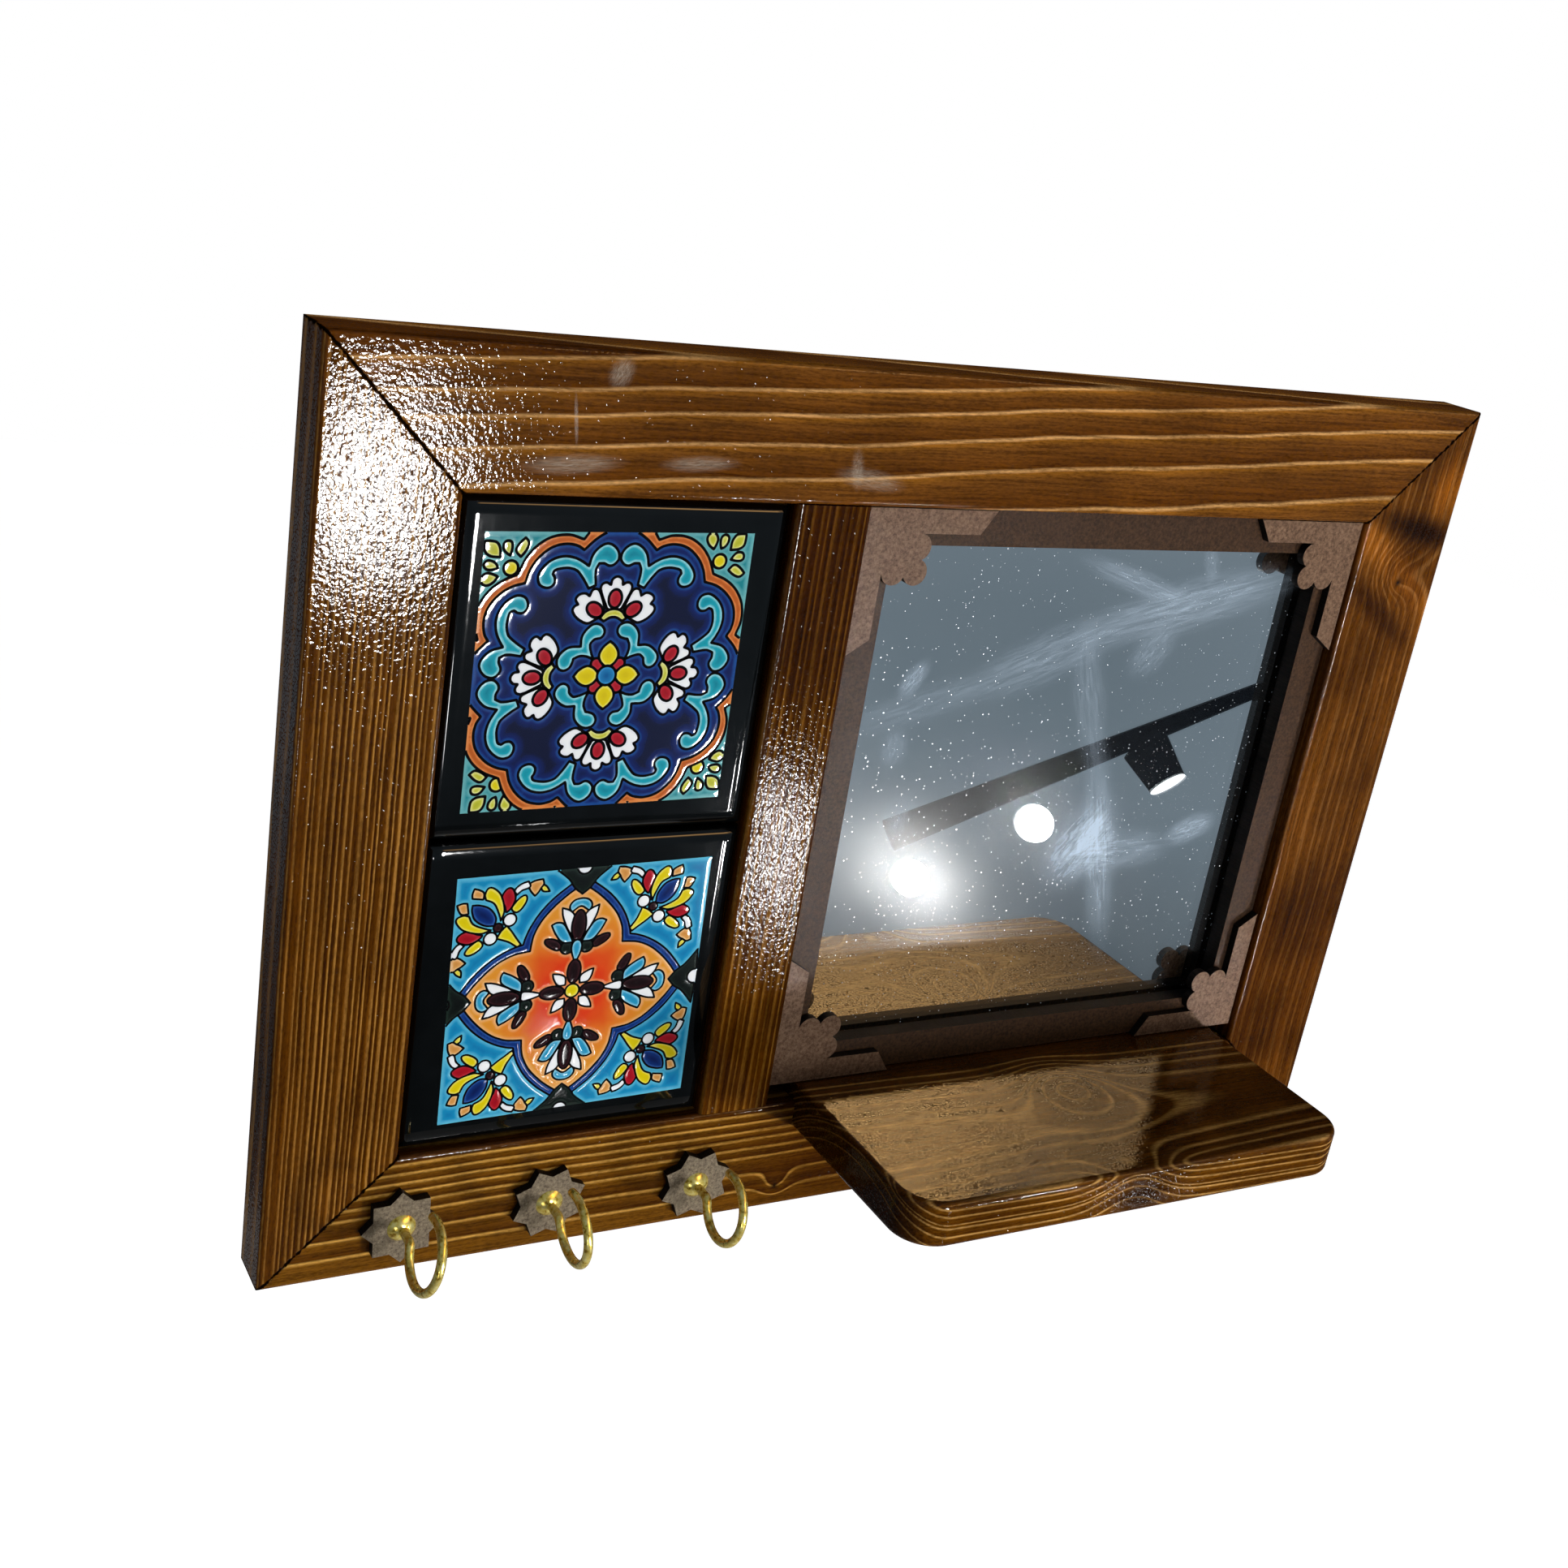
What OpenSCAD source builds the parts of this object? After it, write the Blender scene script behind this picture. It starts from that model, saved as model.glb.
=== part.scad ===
// Wall mirror with a small shelf, two glazed tiles and three cup hooks.
// Millimetres. X runs to the right, Y runs back to the wall and Z runs up.
// The origin is on the wall plane, at the centre of the frame's back.

/* [Frame boards] */
// Width of the two stiles and the two rails
board_w = 40; // [34:1:60]
// Thickness of the boards
board_t = 18; // [18:0.5:25]
// Width of the upright bar between the tiles and the mirror
mullion_w = 25; // [20:1:40]
// Radius of the eased arrises on the face of the boards
board_ease = 1.5; // [0.5:0.25:3]
// Width of the rabbet that the back panel lies in
rabbet_w = 8; // [6:0.5:12]

/* [Tiles] */
// Side of one square tile
tile_size = 100; // [80:1:150]
// Thickness of a tile
tile_t = 7; // [5:0.5:8]
// Radius of a tile's cushioned edges
tile_cushion = 2.6; // [1:0.1:4]
// Joint between the two tiles
tile_joint = 0.8; // [0.4:0.1:3]
// Play between the tiles and the boards around them
tile_play = 0.6; // [0.3:0.1:2]
// How far the tiles lie behind the face of the frame
tile_recess = 3; // [1:0.5:4]

/* [Mirror and its surround] */
// Width of the mirror glass and of the rings on it
glass_w = 200; // [150:1:300]
// Thickness of the mirror glass
glass_t = 3; // [2:0.5:4]
// Play between the mirror stack and the boards around it
glass_play = 0.5; // [0.3:0.1:1.5]
// Thickness of one ring; there are two, one on the other
ring_t = 3; // [2:0.5:3.5]
// Width of the rings' strips
ring_strip = 12; // [9:0.5:20]
// Thickness of the corner ornaments
ornament_t = 3; // [2:0.5:4]
// Length of an ornament's arms, from the outer corner
ornament_arm = 46; // [40:1:60]
// Width of an ornament's arms
ornament_arm_w = 7.6; // [5:0.2:9]
// How much shorter an arm is along its inner edge
ornament_bevel = 5; // [2:0.5:8]
// Distance from the outer corner to the middle of the outer scallops
scallop_reach = 19.6; // [17:0.2:24]
// Distance from the outer corner to the middle of the inner scallops
scallop_near = 11.8; // [9:0.2:14]
// Radius of one scallop
scallop_r = 4.2; // [3.6:0.1:5]

/* [Back panel] */
// Thickness of the back panel
panel_t = 3; // [2:0.5:4]
// How far the panel lies in from the wall plane
panel_inset = 1; // [0.5:0.25:2]
// Play between the panel and the rabbet's sides
panel_play = 0.5; // [0.3:0.1:1]
// Distance from the panel's edge to its screws
panel_screw_edge = 3.5; // [3:0.25:5]
// Distance from the panel's corners to the screws at its sides
panel_screw_corner = 45; // [35:1:60]

/* [Shelf] */
// Width of the shelf
shelf_w = 180; // [130:1:190]
// Thickness of the shelf
shelf_t = 16; // [14:0.5:22]
// How far the shelf stands out from the face of the frame
shelf_depth = 75; // [50:1:110]
// Thickness of the tongue that runs back over the bottom rail
shelf_tongue = 6; // [4:0.5:8]
// Radius of the two front corners, seen from above
shelf_corner = 14; // [8:1:24]
// Radius of the shelf's eased arrises
shelf_ease = 2; // [1:0.25:3]

/* [Cup hooks] */
// Distance from the frame's left edge to the left hook
hook_left_x = 42; // [30:1:60]
// Distance from the frame's left edge to the middle hook
hook_middle_x = 90; // [80:1:110]
// Distance from the frame's left edge to the right hook
hook_right_x = 142; // [130:1:160]
// Height of the left hook over the frame's bottom edge
hook_left_z = 17; // [14:0.5:24]
// Height of the middle hook over the frame's bottom edge
hook_middle_z = 17.5; // [14:0.5:24]
// Height of the right hook over the frame's bottom edge
hook_right_z = 15.5; // [14:0.5:24]
// Turn of the left hook about its screw
hook_left_roll = 12; // [-20:1:20]
// Turn of the middle hook about its screw
hook_middle_roll = -3; // [-20:1:20]
// Turn of the right hook about its screw
hook_right_roll = 7; // [-20:1:20]
// Diameter of the hooks' wire
hook_wire = 2.9; // [2:0.1:3.4]
// Radius of a hook's loop, at the middle of the wire
hook_loop_r = 11.2; // [9:0.2:14]
// Distance from the face of the frame to the middle of a loop
hook_loop_out = 22; // [20:0.5:28]
// Height of the middle of a loop over its screw
hook_loop_up = 3.5; // [1:0.5:6]
// Radius of the bend between a hook's neck and its loop
hook_bend_r = 3; // [2.5:0.25:4]
// How far round the loop runs, from its side nearest the wall
hook_sweep = 286; // [250:2:300]
// Diameter of the domed collar
hook_collar = 9; // [7:0.5:12]
// Height of the domed collar
hook_dome = 2.2; // [1.5:0.1:3]
// Length of the screw in the rail
hook_screw = 12; // [8:0.5:14]

/* [Rosettes] */
// Distance from a rosette's centre to its eight tips
rosette_r = 12.5; // [10:0.5:14]
// Thickness of a rosette
rosette_t = 3; // [2:0.5:4]
// Turn of the left rosette
rosette_left_turn = 3; // [0:1:45]
// Turn of the middle rosette
rosette_middle_turn = 22; // [0:1:45]
// Turn of the right rosette
rosette_right_turn = 20; // [0:1:45]

/* [Joinery] */
// Diameter of the dowels
dowel_d = 6; // [5:0.5:8]
// Length of the dowels
dowel_len = 24; // [20:1:30]
// Distance from a frame corner to its first dowel, along the mitre
mitre_dowel_first = 21; // [20:1:24]
// Distance between a mitre's two dowels
mitre_dowel_gap = 17; // [14:1:20]
// Distance between the two dowels at an end of the mullion
mullion_dowel_gap = 11; // [9:0.5:12]
// Play around dowels and screws in their holes
fit_play = 0.05; // [0.02:0.01:0.1]
// How much deeper a blind hole is than what goes in it
hole_spare = 0.5; // [0.3:0.1:1]

/* [Screws] */
// Diameter of the two screws that hold the shelf
shelf_screw_d = 3.5; // [3:0.5:4]
// Length of the shelf's screws
shelf_screw_len = 35; // [30:1:50]
// Distance between the shelf's screws
shelf_screw_gap = 110; // [60:1:120]
// Diameter of the small screws
small_screw_d = 2.5; // [2:0.1:3]
// Length of the small screws
small_screw_len = 11; // [9:0.5:12]

/* [Hanging plates] */
// Height of a keyhole plate
plate_h = 44; // [40:1:60]
// Width of a keyhole plate
plate_w = 16; // [14:0.5:20]
// Thickness of a keyhole plate
plate_t = 2; // [1.5:0.25:2.5]
// Distance from the frame's top edge to the middle of a plate
plate_drop = 72; // [66:1:100]
// Diameter of the keyhole's round end
keyhole_d = 9; // [8:0.5:10]
// Width of the keyhole's slot
keyhole_slot = 4.6; // [4:0.2:5]
// Height of the keyhole's slot over its round end
keyhole_rise = 9; // [6:0.5:12]
// Distance between a plate's two screws
plate_screw_gap = 34; // [32:1:50]
// Depth of the pocket behind the keyhole
pocket_d = 8; // [6:0.5:10]
// Play between a plate and its recess
plate_play = 0.2; // [0.1:0.05:0.4]

/* [Hidden] */
$fn = 48;

// How far a cutting shape runs past what it cuts
past = 1;

// Openings and overall size, from the tiles and the glass
tile_open_w = tile_size + 2 * tile_play;
open_h = 2 * tile_size + tile_joint + 2 * tile_play;
mirror_open_w = glass_w + 2 * glass_play;
frame_w = 2 * board_w + tile_open_w + mullion_w + mirror_open_w;
frame_h = 2 * board_w + open_h;

// Places across the frame
frame_left = -frame_w / 2;
tile_x = frame_left + board_w + tile_open_w / 2;
mullion_x = tile_x + tile_open_w / 2 + mullion_w / 2;
mirror_x = mullion_x + mullion_w / 2 + mirror_open_w / 2;

// Depths, as places along Y, from the wall plane forward
rabbet_d = panel_t + panel_inset;
face_y = -board_t;
rabbet_y = -rabbet_d;
glass_y = rabbet_y - glass_t;
ring_mid_y = glass_y - ring_t;
ring_y = ring_mid_y - ring_t;
ornament_y = ring_y - ornament_t;
tile_y = face_y + tile_recess;
tile_back_y = tile_y + tile_t;

// The shelf's heights; its tongue lies lower by the play under the mirror stack
rail_top_z = -open_h / 2;
tongue_top_z = rail_top_z + shelf_tongue;
shelf_top_z = tongue_top_z + glass_play;
shelf_under_z = shelf_top_z - shelf_t;
glass_h = open_h - shelf_tongue - 2 * glass_play;
mirror_z = shelf_top_z + glass_h / 2;

// The panel fills the rabbet around both openings
panel_w = frame_w - 2 * board_w + 2 * (rabbet_w - panel_play);
panel_h = open_h + 2 * (rabbet_w - panel_play);

// Dowels lie in the middle of what the rabbet leaves of the boards
dowel_y = (face_y + rabbet_y) / 2;
dowel_hole = dowel_len / 2 + hole_spare;

// Screw heads are twice as wide as the shank and countersunk
head_ratio = 2;
// The shelf's screws start in the middle of the rabbet, under the panel
shelf_screw_z = rail_top_z - rabbet_w / 2;
// The hanging plates lie in the middle of the land beside the rabbet
plate_x = frame_w / 2 - (board_w - rabbet_w) / 2;
plate_z = frame_h / 2 - plate_drop;
// How much wider the pocket is than the keyhole in front of it
pocket_spare = 1;

// Hook screws and rosettes, left to right
hook_x = [for (x = [hook_left_x, hook_middle_x, hook_right_x]) frame_left + x];
hook_z = [for (z = [hook_left_z, hook_middle_z, hook_right_z]) z - frame_h / 2];

// Where the neck's bend runs into the loop, as an angle round the loop
hook_join = asin((hook_bend_r + hook_loop_up) / (hook_loop_r + hook_bend_r));
// How far the straight neck reaches from the face of the frame
hook_neck = hook_loop_out - (hook_loop_r + hook_bend_r) * cos(hook_join);
// The wire swells by this much on the radius where it is bent most
wire_swell = 0.05;
// How far the neck and the loop run into the swollen bend
wire_lap = 0.3;

// ---- shared shapes ----

// Extrudes a shape drawn in X and Z, from one depth back to another
module between(y_front, y_back) {
    translate([0, y_back, 0]) rotate([90, 0, 0]) linear_extrude(y_back - y_front) children();
}

// A straight hole or rod along Y
module rod_y(x, z, y_front, y_back, d) {
    translate([x, y_back, z]) rotate([90, 0, 0]) cylinder(h = y_back - y_front, d = d);
}

// Cross-section of a board with two eased arrises: depth across, width upward
module eased_section(width, depth) {
    difference() {
        translate([-depth, 0]) square([depth, width]);
        for (z = [0, width]) translate([-depth, z]) square(2 * board_ease, center = true);
    }
    for (z = [board_ease, width - board_ease]) translate([board_ease - depth, z]) circle(board_ease);
}

// Extrudes a section along X, centred
module along_x(length) {
    translate([-length / 2, 0, 0]) rotate([90, 0, 90]) linear_extrude(length) children();
}

// A mitred board with its rabbet: outer edge on Z = 0, inner edge up
module mitred_board(length) {
    intersection() {
        along_x(length) difference() {
            eased_section(board_w, board_t);
            translate([rabbet_y, board_w - rabbet_w]) square([rabbet_d + past, rabbet_w + past]);
        }
        between(face_y - past, past) polygon([[-length / 2, 0], [length / 2, 0],
            [length / 2 - board_w, board_w], [board_w - length / 2, board_w]]);
    }
}

// One dowel or, when longer and wider, the hole for it
module dowel(d, length) {
    rotate([0, 90, 0]) cylinder(h = length, d = d, center = true);
}

// The two dowels of the corner at a side of the frame (-1 or 1) and its bottom or top
module corner_dowels(side, end, d, length) {
    for (along = [mitre_dowel_first, mitre_dowel_first + mitre_dowel_gap])
        translate([side * (frame_w / 2 - along / sqrt(2)), dowel_y,
            end * (frame_h / 2 - along / sqrt(2))])
            rotate([0, side * end * 45, 0]) dowel(d, length);
}

// The two dowels at the mullion's bottom or top end
module end_dowels(end, d, length) {
    for (side = [-1, 1])
        translate([mullion_x + side * mullion_dowel_gap / 2, dowel_y, end * open_h / 2])
            rotate([0, 90, 0]) dowel(d, length);
}

// A countersunk screw driven forward, its head flush with the plane Y = 0
module screw(d, length) {
    head_d = head_ratio * d;
    head_h = (head_d - d) / 2;
    rotate([90, 0, 0]) {
        cylinder(h = head_h, d1 = head_d, d2 = d);
        translate([0, 0, head_h]) cylinder(h = length - head_h - d, d = d);
        translate([0, 0, length - d]) cylinder(h = d, d1 = d, d2 = d / 4);
    }
}

// The hole for such a screw, with its countersink
module screw_hole(d, length) {
    hole_d = d + 2 * fit_play;
    head_d = head_ratio * d + 2 * fit_play;
    rotate([90, 0, 0]) {
        cylinder(h = length + hole_spare, d = hole_d);
        cylinder(h = (head_d - hole_d) / 2, d1 = head_d, d2 = hole_d);
    }
}

// ---- frame ----

module wood(c = "#5e3a1c") { color(c) children(); }

// Places children at each of the shelf's screws
module at_shelf_screws() {
    for (side = [-1, 1])
        translate([mirror_x + side * shelf_screw_gap / 2, rabbet_y, shelf_screw_z]) children();
}

// Places children at each of the back panel's screws: behind the tiles' and the mirror's
// middle at top and bottom, clear of the shelf's screws, and two at each side
module at_panel_screws() {
    up = panel_h / 2 - panel_screw_corner;
    for (x = [tile_x, mirror_x], end = [-1, 1])
        translate([x, -panel_inset, end * (panel_h / 2 - panel_screw_edge)]) children();
    for (side = [-1, 1], z = [-up, up])
        translate([side * (panel_w / 2 - panel_screw_edge), -panel_inset, z]) children();
}

// Places children at the two screws of each keyhole plate on one side
module at_plate_screws(side) {
    for (end = [-1, 1])
        translate([side * plate_x, 0, plate_z + end * plate_screw_gap / 2]) children();
}

module panel_screw_holes() {
    at_panel_screws() screw_hole(small_screw_d, small_screw_len);
}

module stile(side) {
    difference() {
        translate([side * frame_w / 2, 0, 0]) rotate([0, -side * 90, 0]) mitred_board(frame_h);
        for (end = [-1, 1]) corner_dowels(side, end, dowel_d + 2 * fit_play, 2 * dowel_hole);
        panel_screw_holes();
        plate_recess(side);
    }
}

// Recess for a keyhole plate, the pocket behind it and the holes for its screws
module plate_recess(side) {
    between(-plate_t, past) translate([side * plate_x, plate_z])
        square([plate_w + 2 * plate_play, plate_h + 2 * plate_play], center = true);
    between(-pocket_d, past) translate([side * plate_x, plate_z]) {
        translate([0, -keyhole_rise / 2]) circle(d = keyhole_d + pocket_spare);
        translate([0, keyhole_rise / 2]) circle(d = keyhole_d + pocket_spare);
        square([keyhole_d + pocket_spare, keyhole_rise], center = true);
    }
    at_plate_screws(side) screw_hole(small_screw_d, small_screw_len);
}

module left_stile() { wood() stile(-1); }

module right_stile() { wood() stile(1); }

module top_rail() {
    wood() difference() {
        translate([0, 0, frame_h / 2]) rotate([0, 180, 0]) mitred_board(frame_w);
        for (side = [-1, 1]) corner_dowels(side, 1, dowel_d + 2 * fit_play, 2 * dowel_hole);
        end_dowels(1, dowel_d + 2 * fit_play, 2 * dowel_hole);
        panel_screw_holes();
    }
}

module bottom_rail() {
    wood() difference() {
        translate([0, 0, -frame_h / 2]) mitred_board(frame_w);
        for (side = [-1, 1]) corner_dowels(side, -1, dowel_d + 2 * fit_play, 2 * dowel_hole);
        end_dowels(-1, dowel_d + 2 * fit_play, 2 * dowel_hole);
        panel_screw_holes();
        at_shelf_screws() screw_hole(shelf_screw_d, shelf_screw_len);
        for (i = [0 : 2]) rod_y(hook_x[i], hook_z[i], face_y - past,
            face_y + hook_screw + hole_spare, hook_wire + 2 * fit_play);
    }
}

module mullion() {
    wood() difference() {
        translate([mullion_x - mullion_w / 2, 0, 0]) rotate([0, 90, 0]) along_x(open_h)
            translate([rabbet_y, 0]) eased_section(mullion_w, board_t - rabbet_d);
        for (end = [-1, 1]) end_dowels(end, dowel_d + 2 * fit_play, 2 * dowel_hole);
    }
}

module mitre_dowels() {
    color("#c9a46c") for (side = [-1, 1], end = [-1, 1]) corner_dowels(side, end, dowel_d, dowel_len);
}

module mullion_dowels() {
    color("#c9a46c") for (end = [-1, 1]) end_dowels(end, dowel_d, dowel_len);
}

// ---- tiles ----

// Section of a tile: depth across, its face to the left and rounded at both edges
module tile_section() {
    translate([tile_cushion, -tile_size / 2]) square([tile_t - tile_cushion, tile_size]);
    translate([0, tile_cushion - tile_size / 2]) square([tile_t, tile_size - 2 * tile_cushion]);
    for (end = [-1, 1])
        translate([tile_cushion, end * (tile_size / 2 - tile_cushion)]) circle(tile_cushion);
}

// A cushion-edged tile: two rounded sections crossed
module tile(z) {
    translate([tile_x, tile_y, z]) intersection() {
        along_x(tile_size) tile_section();
        rotate([0, 90, 0]) along_x(tile_size) tile_section();
    }
}

module upper_tile() { color("#12161c") tile((tile_size + tile_joint) / 2); }

module lower_tile() { color("#1b3340") tile(-(tile_size + tile_joint) / 2); }

// The board that packs the tiles out from the back panel
module tile_packing() {
    color("#8c6f52") between(tile_back_y, rabbet_y) translate([tile_x, 0])
        square([tile_size, 2 * tile_size + tile_joint], center = true);
}

// ---- mirror ----

module glass_outline() {
    translate([mirror_x, mirror_z]) square([glass_w, glass_h], center = true);
}

module mirror_glass() { color("#9aa6ad") between(glass_y, rabbet_y) glass_outline(); }

// One ring: a plain strip around the glass, with a square window
module ring(y_front, y_back) {
    color("#6f5644") between(y_front, y_back) difference() {
        glass_outline();
        translate([mirror_x, mirror_z])
            square([glass_w - 2 * ring_strip, glass_h - 2 * ring_strip], center = true);
    }
}

module rear_ring() { ring(ring_mid_y, glass_y); }

module front_ring() { ring(ring_y, ring_mid_y); }

// A corner ornament: two bevelled arms and a scalloped tab, its outer corner at 0,0
module ornament_outline() {
    polygon([[0, 0], [ornament_arm, 0], [ornament_arm - ornament_bevel, ornament_arm_w],
        [ornament_arm_w, ornament_arm_w], [ornament_arm_w, ornament_arm - ornament_bevel],
        [0, ornament_arm]]);
    square(scallop_reach);
    for (middle = [[scallop_near, scallop_reach], [scallop_reach, scallop_reach],
        [scallop_reach, scallop_near]])
        translate(middle) circle(scallop_r);
}

// The ornament of one corner: side -1 or 1 and end -1 or 1 point to that corner
module ornament(side, end) {
    color("#7b6252") between(ornament_y, ring_y)
        translate([mirror_x + side * glass_w / 2, mirror_z + end * glass_h / 2])
            flipped(-side, -end) ornament_outline();
}

// Flips a flat shape to either side and up or down
module flipped(side, end) {
    mirror([side < 0 ? 1 : 0, 0]) mirror([0, end < 0 ? 1 : 0]) children();
}

module ornament_top_left() { ornament(-1, 1); }

module ornament_top_right() { ornament(1, 1); }

module ornament_bottom_left() { ornament(-1, -1); }

module ornament_bottom_right() { ornament(1, -1); }

// ---- back ----

module back_panel() {
    color("#7d5d3f") difference() {
        between(rabbet_y, -panel_inset) square([panel_w, panel_h], center = true);
        panel_screw_holes();
    }
}

module panel_screws() {
    color("#b9b7ae") at_panel_screws() screw(small_screw_d, small_screw_len);
}

// A keyhole plate, flush with the back of a stile
module hanging_plate(side) {
    color("#b9b7ae") difference() {
        between(-plate_t, 0) translate([side * plate_x, plate_z]) difference() {
            square([plate_w, plate_h], center = true);
            translate([0, -keyhole_rise / 2]) circle(d = keyhole_d);
            translate([0, keyhole_rise / 2]) circle(d = keyhole_slot);
            square([keyhole_slot, keyhole_rise], center = true);
        }
        at_plate_screws(side) screw_hole(small_screw_d, small_screw_len);
    }
}

module hanging_plate_left() { hanging_plate(-1); }

module hanging_plate_right() { hanging_plate(1); }

module hanging_screws() {
    color("#b9b7ae") for (side = [-1, 1])
        at_plate_screws(side) screw(small_screw_d, small_screw_len);
}

// ---- shelf ----

// The shelf seen from above: back edge on Y = 0, front corners rounded
module shelf_plan(inset) {
    half = shelf_w / 2 - inset;
    corner = shelf_corner - inset;
    depth = shelf_depth - inset;
    translate([-half, corner - depth]) square([2 * half, depth - corner]);
    translate([corner - half, -depth]) square([2 * (half - corner), depth]);
    for (side = [-1, 1]) translate([side * (half - corner), corner - depth]) circle(corner);
}

// The eased arris that runs round both sides and the front, at one height
module shelf_arris(z) {
    side_x = shelf_w / 2 - shelf_ease;
    turn_x = shelf_w / 2 - shelf_corner;
    turn_y = shelf_corner - shelf_depth;
    for (side = [-1, 1]) {
        translate([side * side_x, turn_y, z]) rotate([-90, 0, 0])
            cylinder(h = -turn_y, r = shelf_ease);
        translate([side * turn_x, turn_y, z]) rotate([0, 0, side < 0 ? 180 : 270])
            rotate_extrude(angle = 90) translate([shelf_corner - shelf_ease, 0]) circle(shelf_ease);
    }
    translate([-turn_x, shelf_ease - shelf_depth, z]) rotate([0, 90, 0])
        cylinder(h = 2 * turn_x, r = shelf_ease);
}

// The shelf: an eased board whose tongue runs back over the bottom rail
module shelf() {
    wood("#5a3719") translate([mirror_x, face_y, shelf_under_z]) difference() {
        union() {
            linear_extrude(shelf_t) shelf_plan(shelf_ease);
            translate([0, 0, shelf_ease]) linear_extrude(shelf_t - 2 * shelf_ease) shelf_plan(0);
            shelf_arris(shelf_ease);
            shelf_arris(shelf_t - shelf_ease);
            translate([-shelf_w / 2, 0, rail_top_z - shelf_under_z])
                cube([shelf_w, board_t - rabbet_d, shelf_tongue]);
        }
        translate([-mirror_x, -face_y, -shelf_under_z])
            at_shelf_screws() screw_hole(shelf_screw_d, shelf_screw_len);
    }
}

module shelf_screws() {
    color("#b9b7ae") at_shelf_screws() screw(shelf_screw_d, shelf_screw_len);
}

// ---- hooks ----

// A bent length of wire, in the plane of Y and Z
module wire_arc(middle_y, middle_z, radius, start, turn, d) {
    translate([0, middle_y, middle_z]) rotate([90, 0, 90]) rotate([0, 0, start])
        rotate_extrude(angle = turn) translate([radius, 0]) circle(d = d);
}

// The collar's section: a shallow dome around the wire
module collar_section() {
    dome_r = (pow(hook_collar / 2, 2) + pow(hook_dome, 2)) / (2 * hook_dome);
    intersection() {
        translate([0, hook_dome - dome_r]) circle(dome_r, $fn = 96);
        square([hook_collar / 2, hook_dome]);
    }
}

// A cup hook: screw, domed collar, neck, bend and open loop, its screw on the Y axis
module cup_hook() {
    lap_turn = wire_lap / hook_loop_r * 180 / PI;
    rotate([90, 0, 0]) translate([0, 0, -hook_screw])
        cylinder(h = hook_screw + hook_neck + wire_lap, d = hook_wire);
    translate([0, -rosette_t, 0]) rotate([90, 0, 0]) rotate_extrude() collar_section();
    wire_arc(-hook_neck, -hook_bend_r, hook_bend_r, 90, 90 - hook_join, hook_wire + 2 * wire_swell);
    wire_arc(-hook_loop_out, hook_loop_up, hook_loop_r, -hook_sweep,
        hook_sweep - hook_join + lap_turn, hook_wire);
}

module hook(i, roll) {
    color("#c9a94a") translate([hook_x[i], face_y, hook_z[i]]) rotate([0, roll, 0]) cup_hook();
}

module hook_left() { hook(0, hook_left_roll); }

module hook_middle() { hook(1, hook_middle_roll); }

module hook_right() { hook(2, hook_right_roll); }

// An eight-pointed rosette: two squares crossed, with a hole for the screw
module rosette(i, turn) {
    color("#77685c") between(face_y - rosette_t, face_y) translate([hook_x[i], hook_z[i]])
        difference() {
            for (quarter = [0, 45]) rotate(turn + quarter) square(rosette_r * sqrt(2), center = true);
            circle(d = hook_wire + 2 * fit_play);
        }
}

module rosette_left() { rosette(0, rosette_left_turn); }

module rosette_middle() { rosette(1, rosette_middle_turn); }

module rosette_right() { rosette(2, rosette_right_turn); }

// ---- one line for each piece ----

left_stile();
right_stile();
top_rail();
bottom_rail();
mullion();
mitre_dowels();
mullion_dowels();
upper_tile();
lower_tile();
tile_packing();
mirror_glass();
rear_ring();
front_ring();
ornament_top_left();
ornament_top_right();
ornament_bottom_left();
ornament_bottom_right();
back_panel();
panel_screws();
shelf();
shelf_screws();
hook_left();
hook_middle();
hook_right();
rosette_left();
rosette_middle();
rosette_right();
hanging_plate_left();
hanging_plate_right();
hanging_screws();
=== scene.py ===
import math

import bpy
import numpy as np
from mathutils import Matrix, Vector, kdtree
from mathutils.geometry import delaunay_2d_cdt


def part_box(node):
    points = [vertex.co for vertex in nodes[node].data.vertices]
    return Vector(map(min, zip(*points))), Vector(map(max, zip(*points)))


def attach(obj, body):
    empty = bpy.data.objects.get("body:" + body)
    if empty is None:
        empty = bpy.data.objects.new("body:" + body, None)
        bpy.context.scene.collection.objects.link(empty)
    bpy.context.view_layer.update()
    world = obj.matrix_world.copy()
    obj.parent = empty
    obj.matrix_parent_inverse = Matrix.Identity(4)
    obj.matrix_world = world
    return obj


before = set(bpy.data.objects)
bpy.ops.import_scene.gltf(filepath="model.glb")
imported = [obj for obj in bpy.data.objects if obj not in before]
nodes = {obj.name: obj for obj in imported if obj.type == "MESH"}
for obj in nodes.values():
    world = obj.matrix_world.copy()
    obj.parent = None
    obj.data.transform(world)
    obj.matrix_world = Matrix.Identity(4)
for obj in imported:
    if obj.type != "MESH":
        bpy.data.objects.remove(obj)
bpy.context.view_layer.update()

# ---- Frame boards ----
# Four pine boards, mitred and dowelled at the corners, and the narrower upright bar between the
# tiles and the mirror. They are stained walnut brown and brushed with a thick gloss varnish.

MM = 0.001


def box_mm(name):
    """The low and the high corner of one of the frame's nodes, in mm."""
    return [[round(value / MM, 3) for value in corner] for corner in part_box(name)]


rail_low, rail_high = box_mm("top_rail")
FACE_Y = rail_low[1]
FRAME_W = rail_high[0] - rail_low[0]
FRAME_H = 2 * rail_high[2]
SPOT_DEPTH = 60.0


def tone(code):
    """An sRGB hex colour as linear red, green, blue and alpha."""
    parts = [int(code[i:i + 2], 16) / 255 for i in (1, 3, 5)]
    return [c / 12.92 if c <= 0.04045 else ((c + 0.055) / 1.055) ** 2.4 for c in parts] + [1.0]


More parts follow.
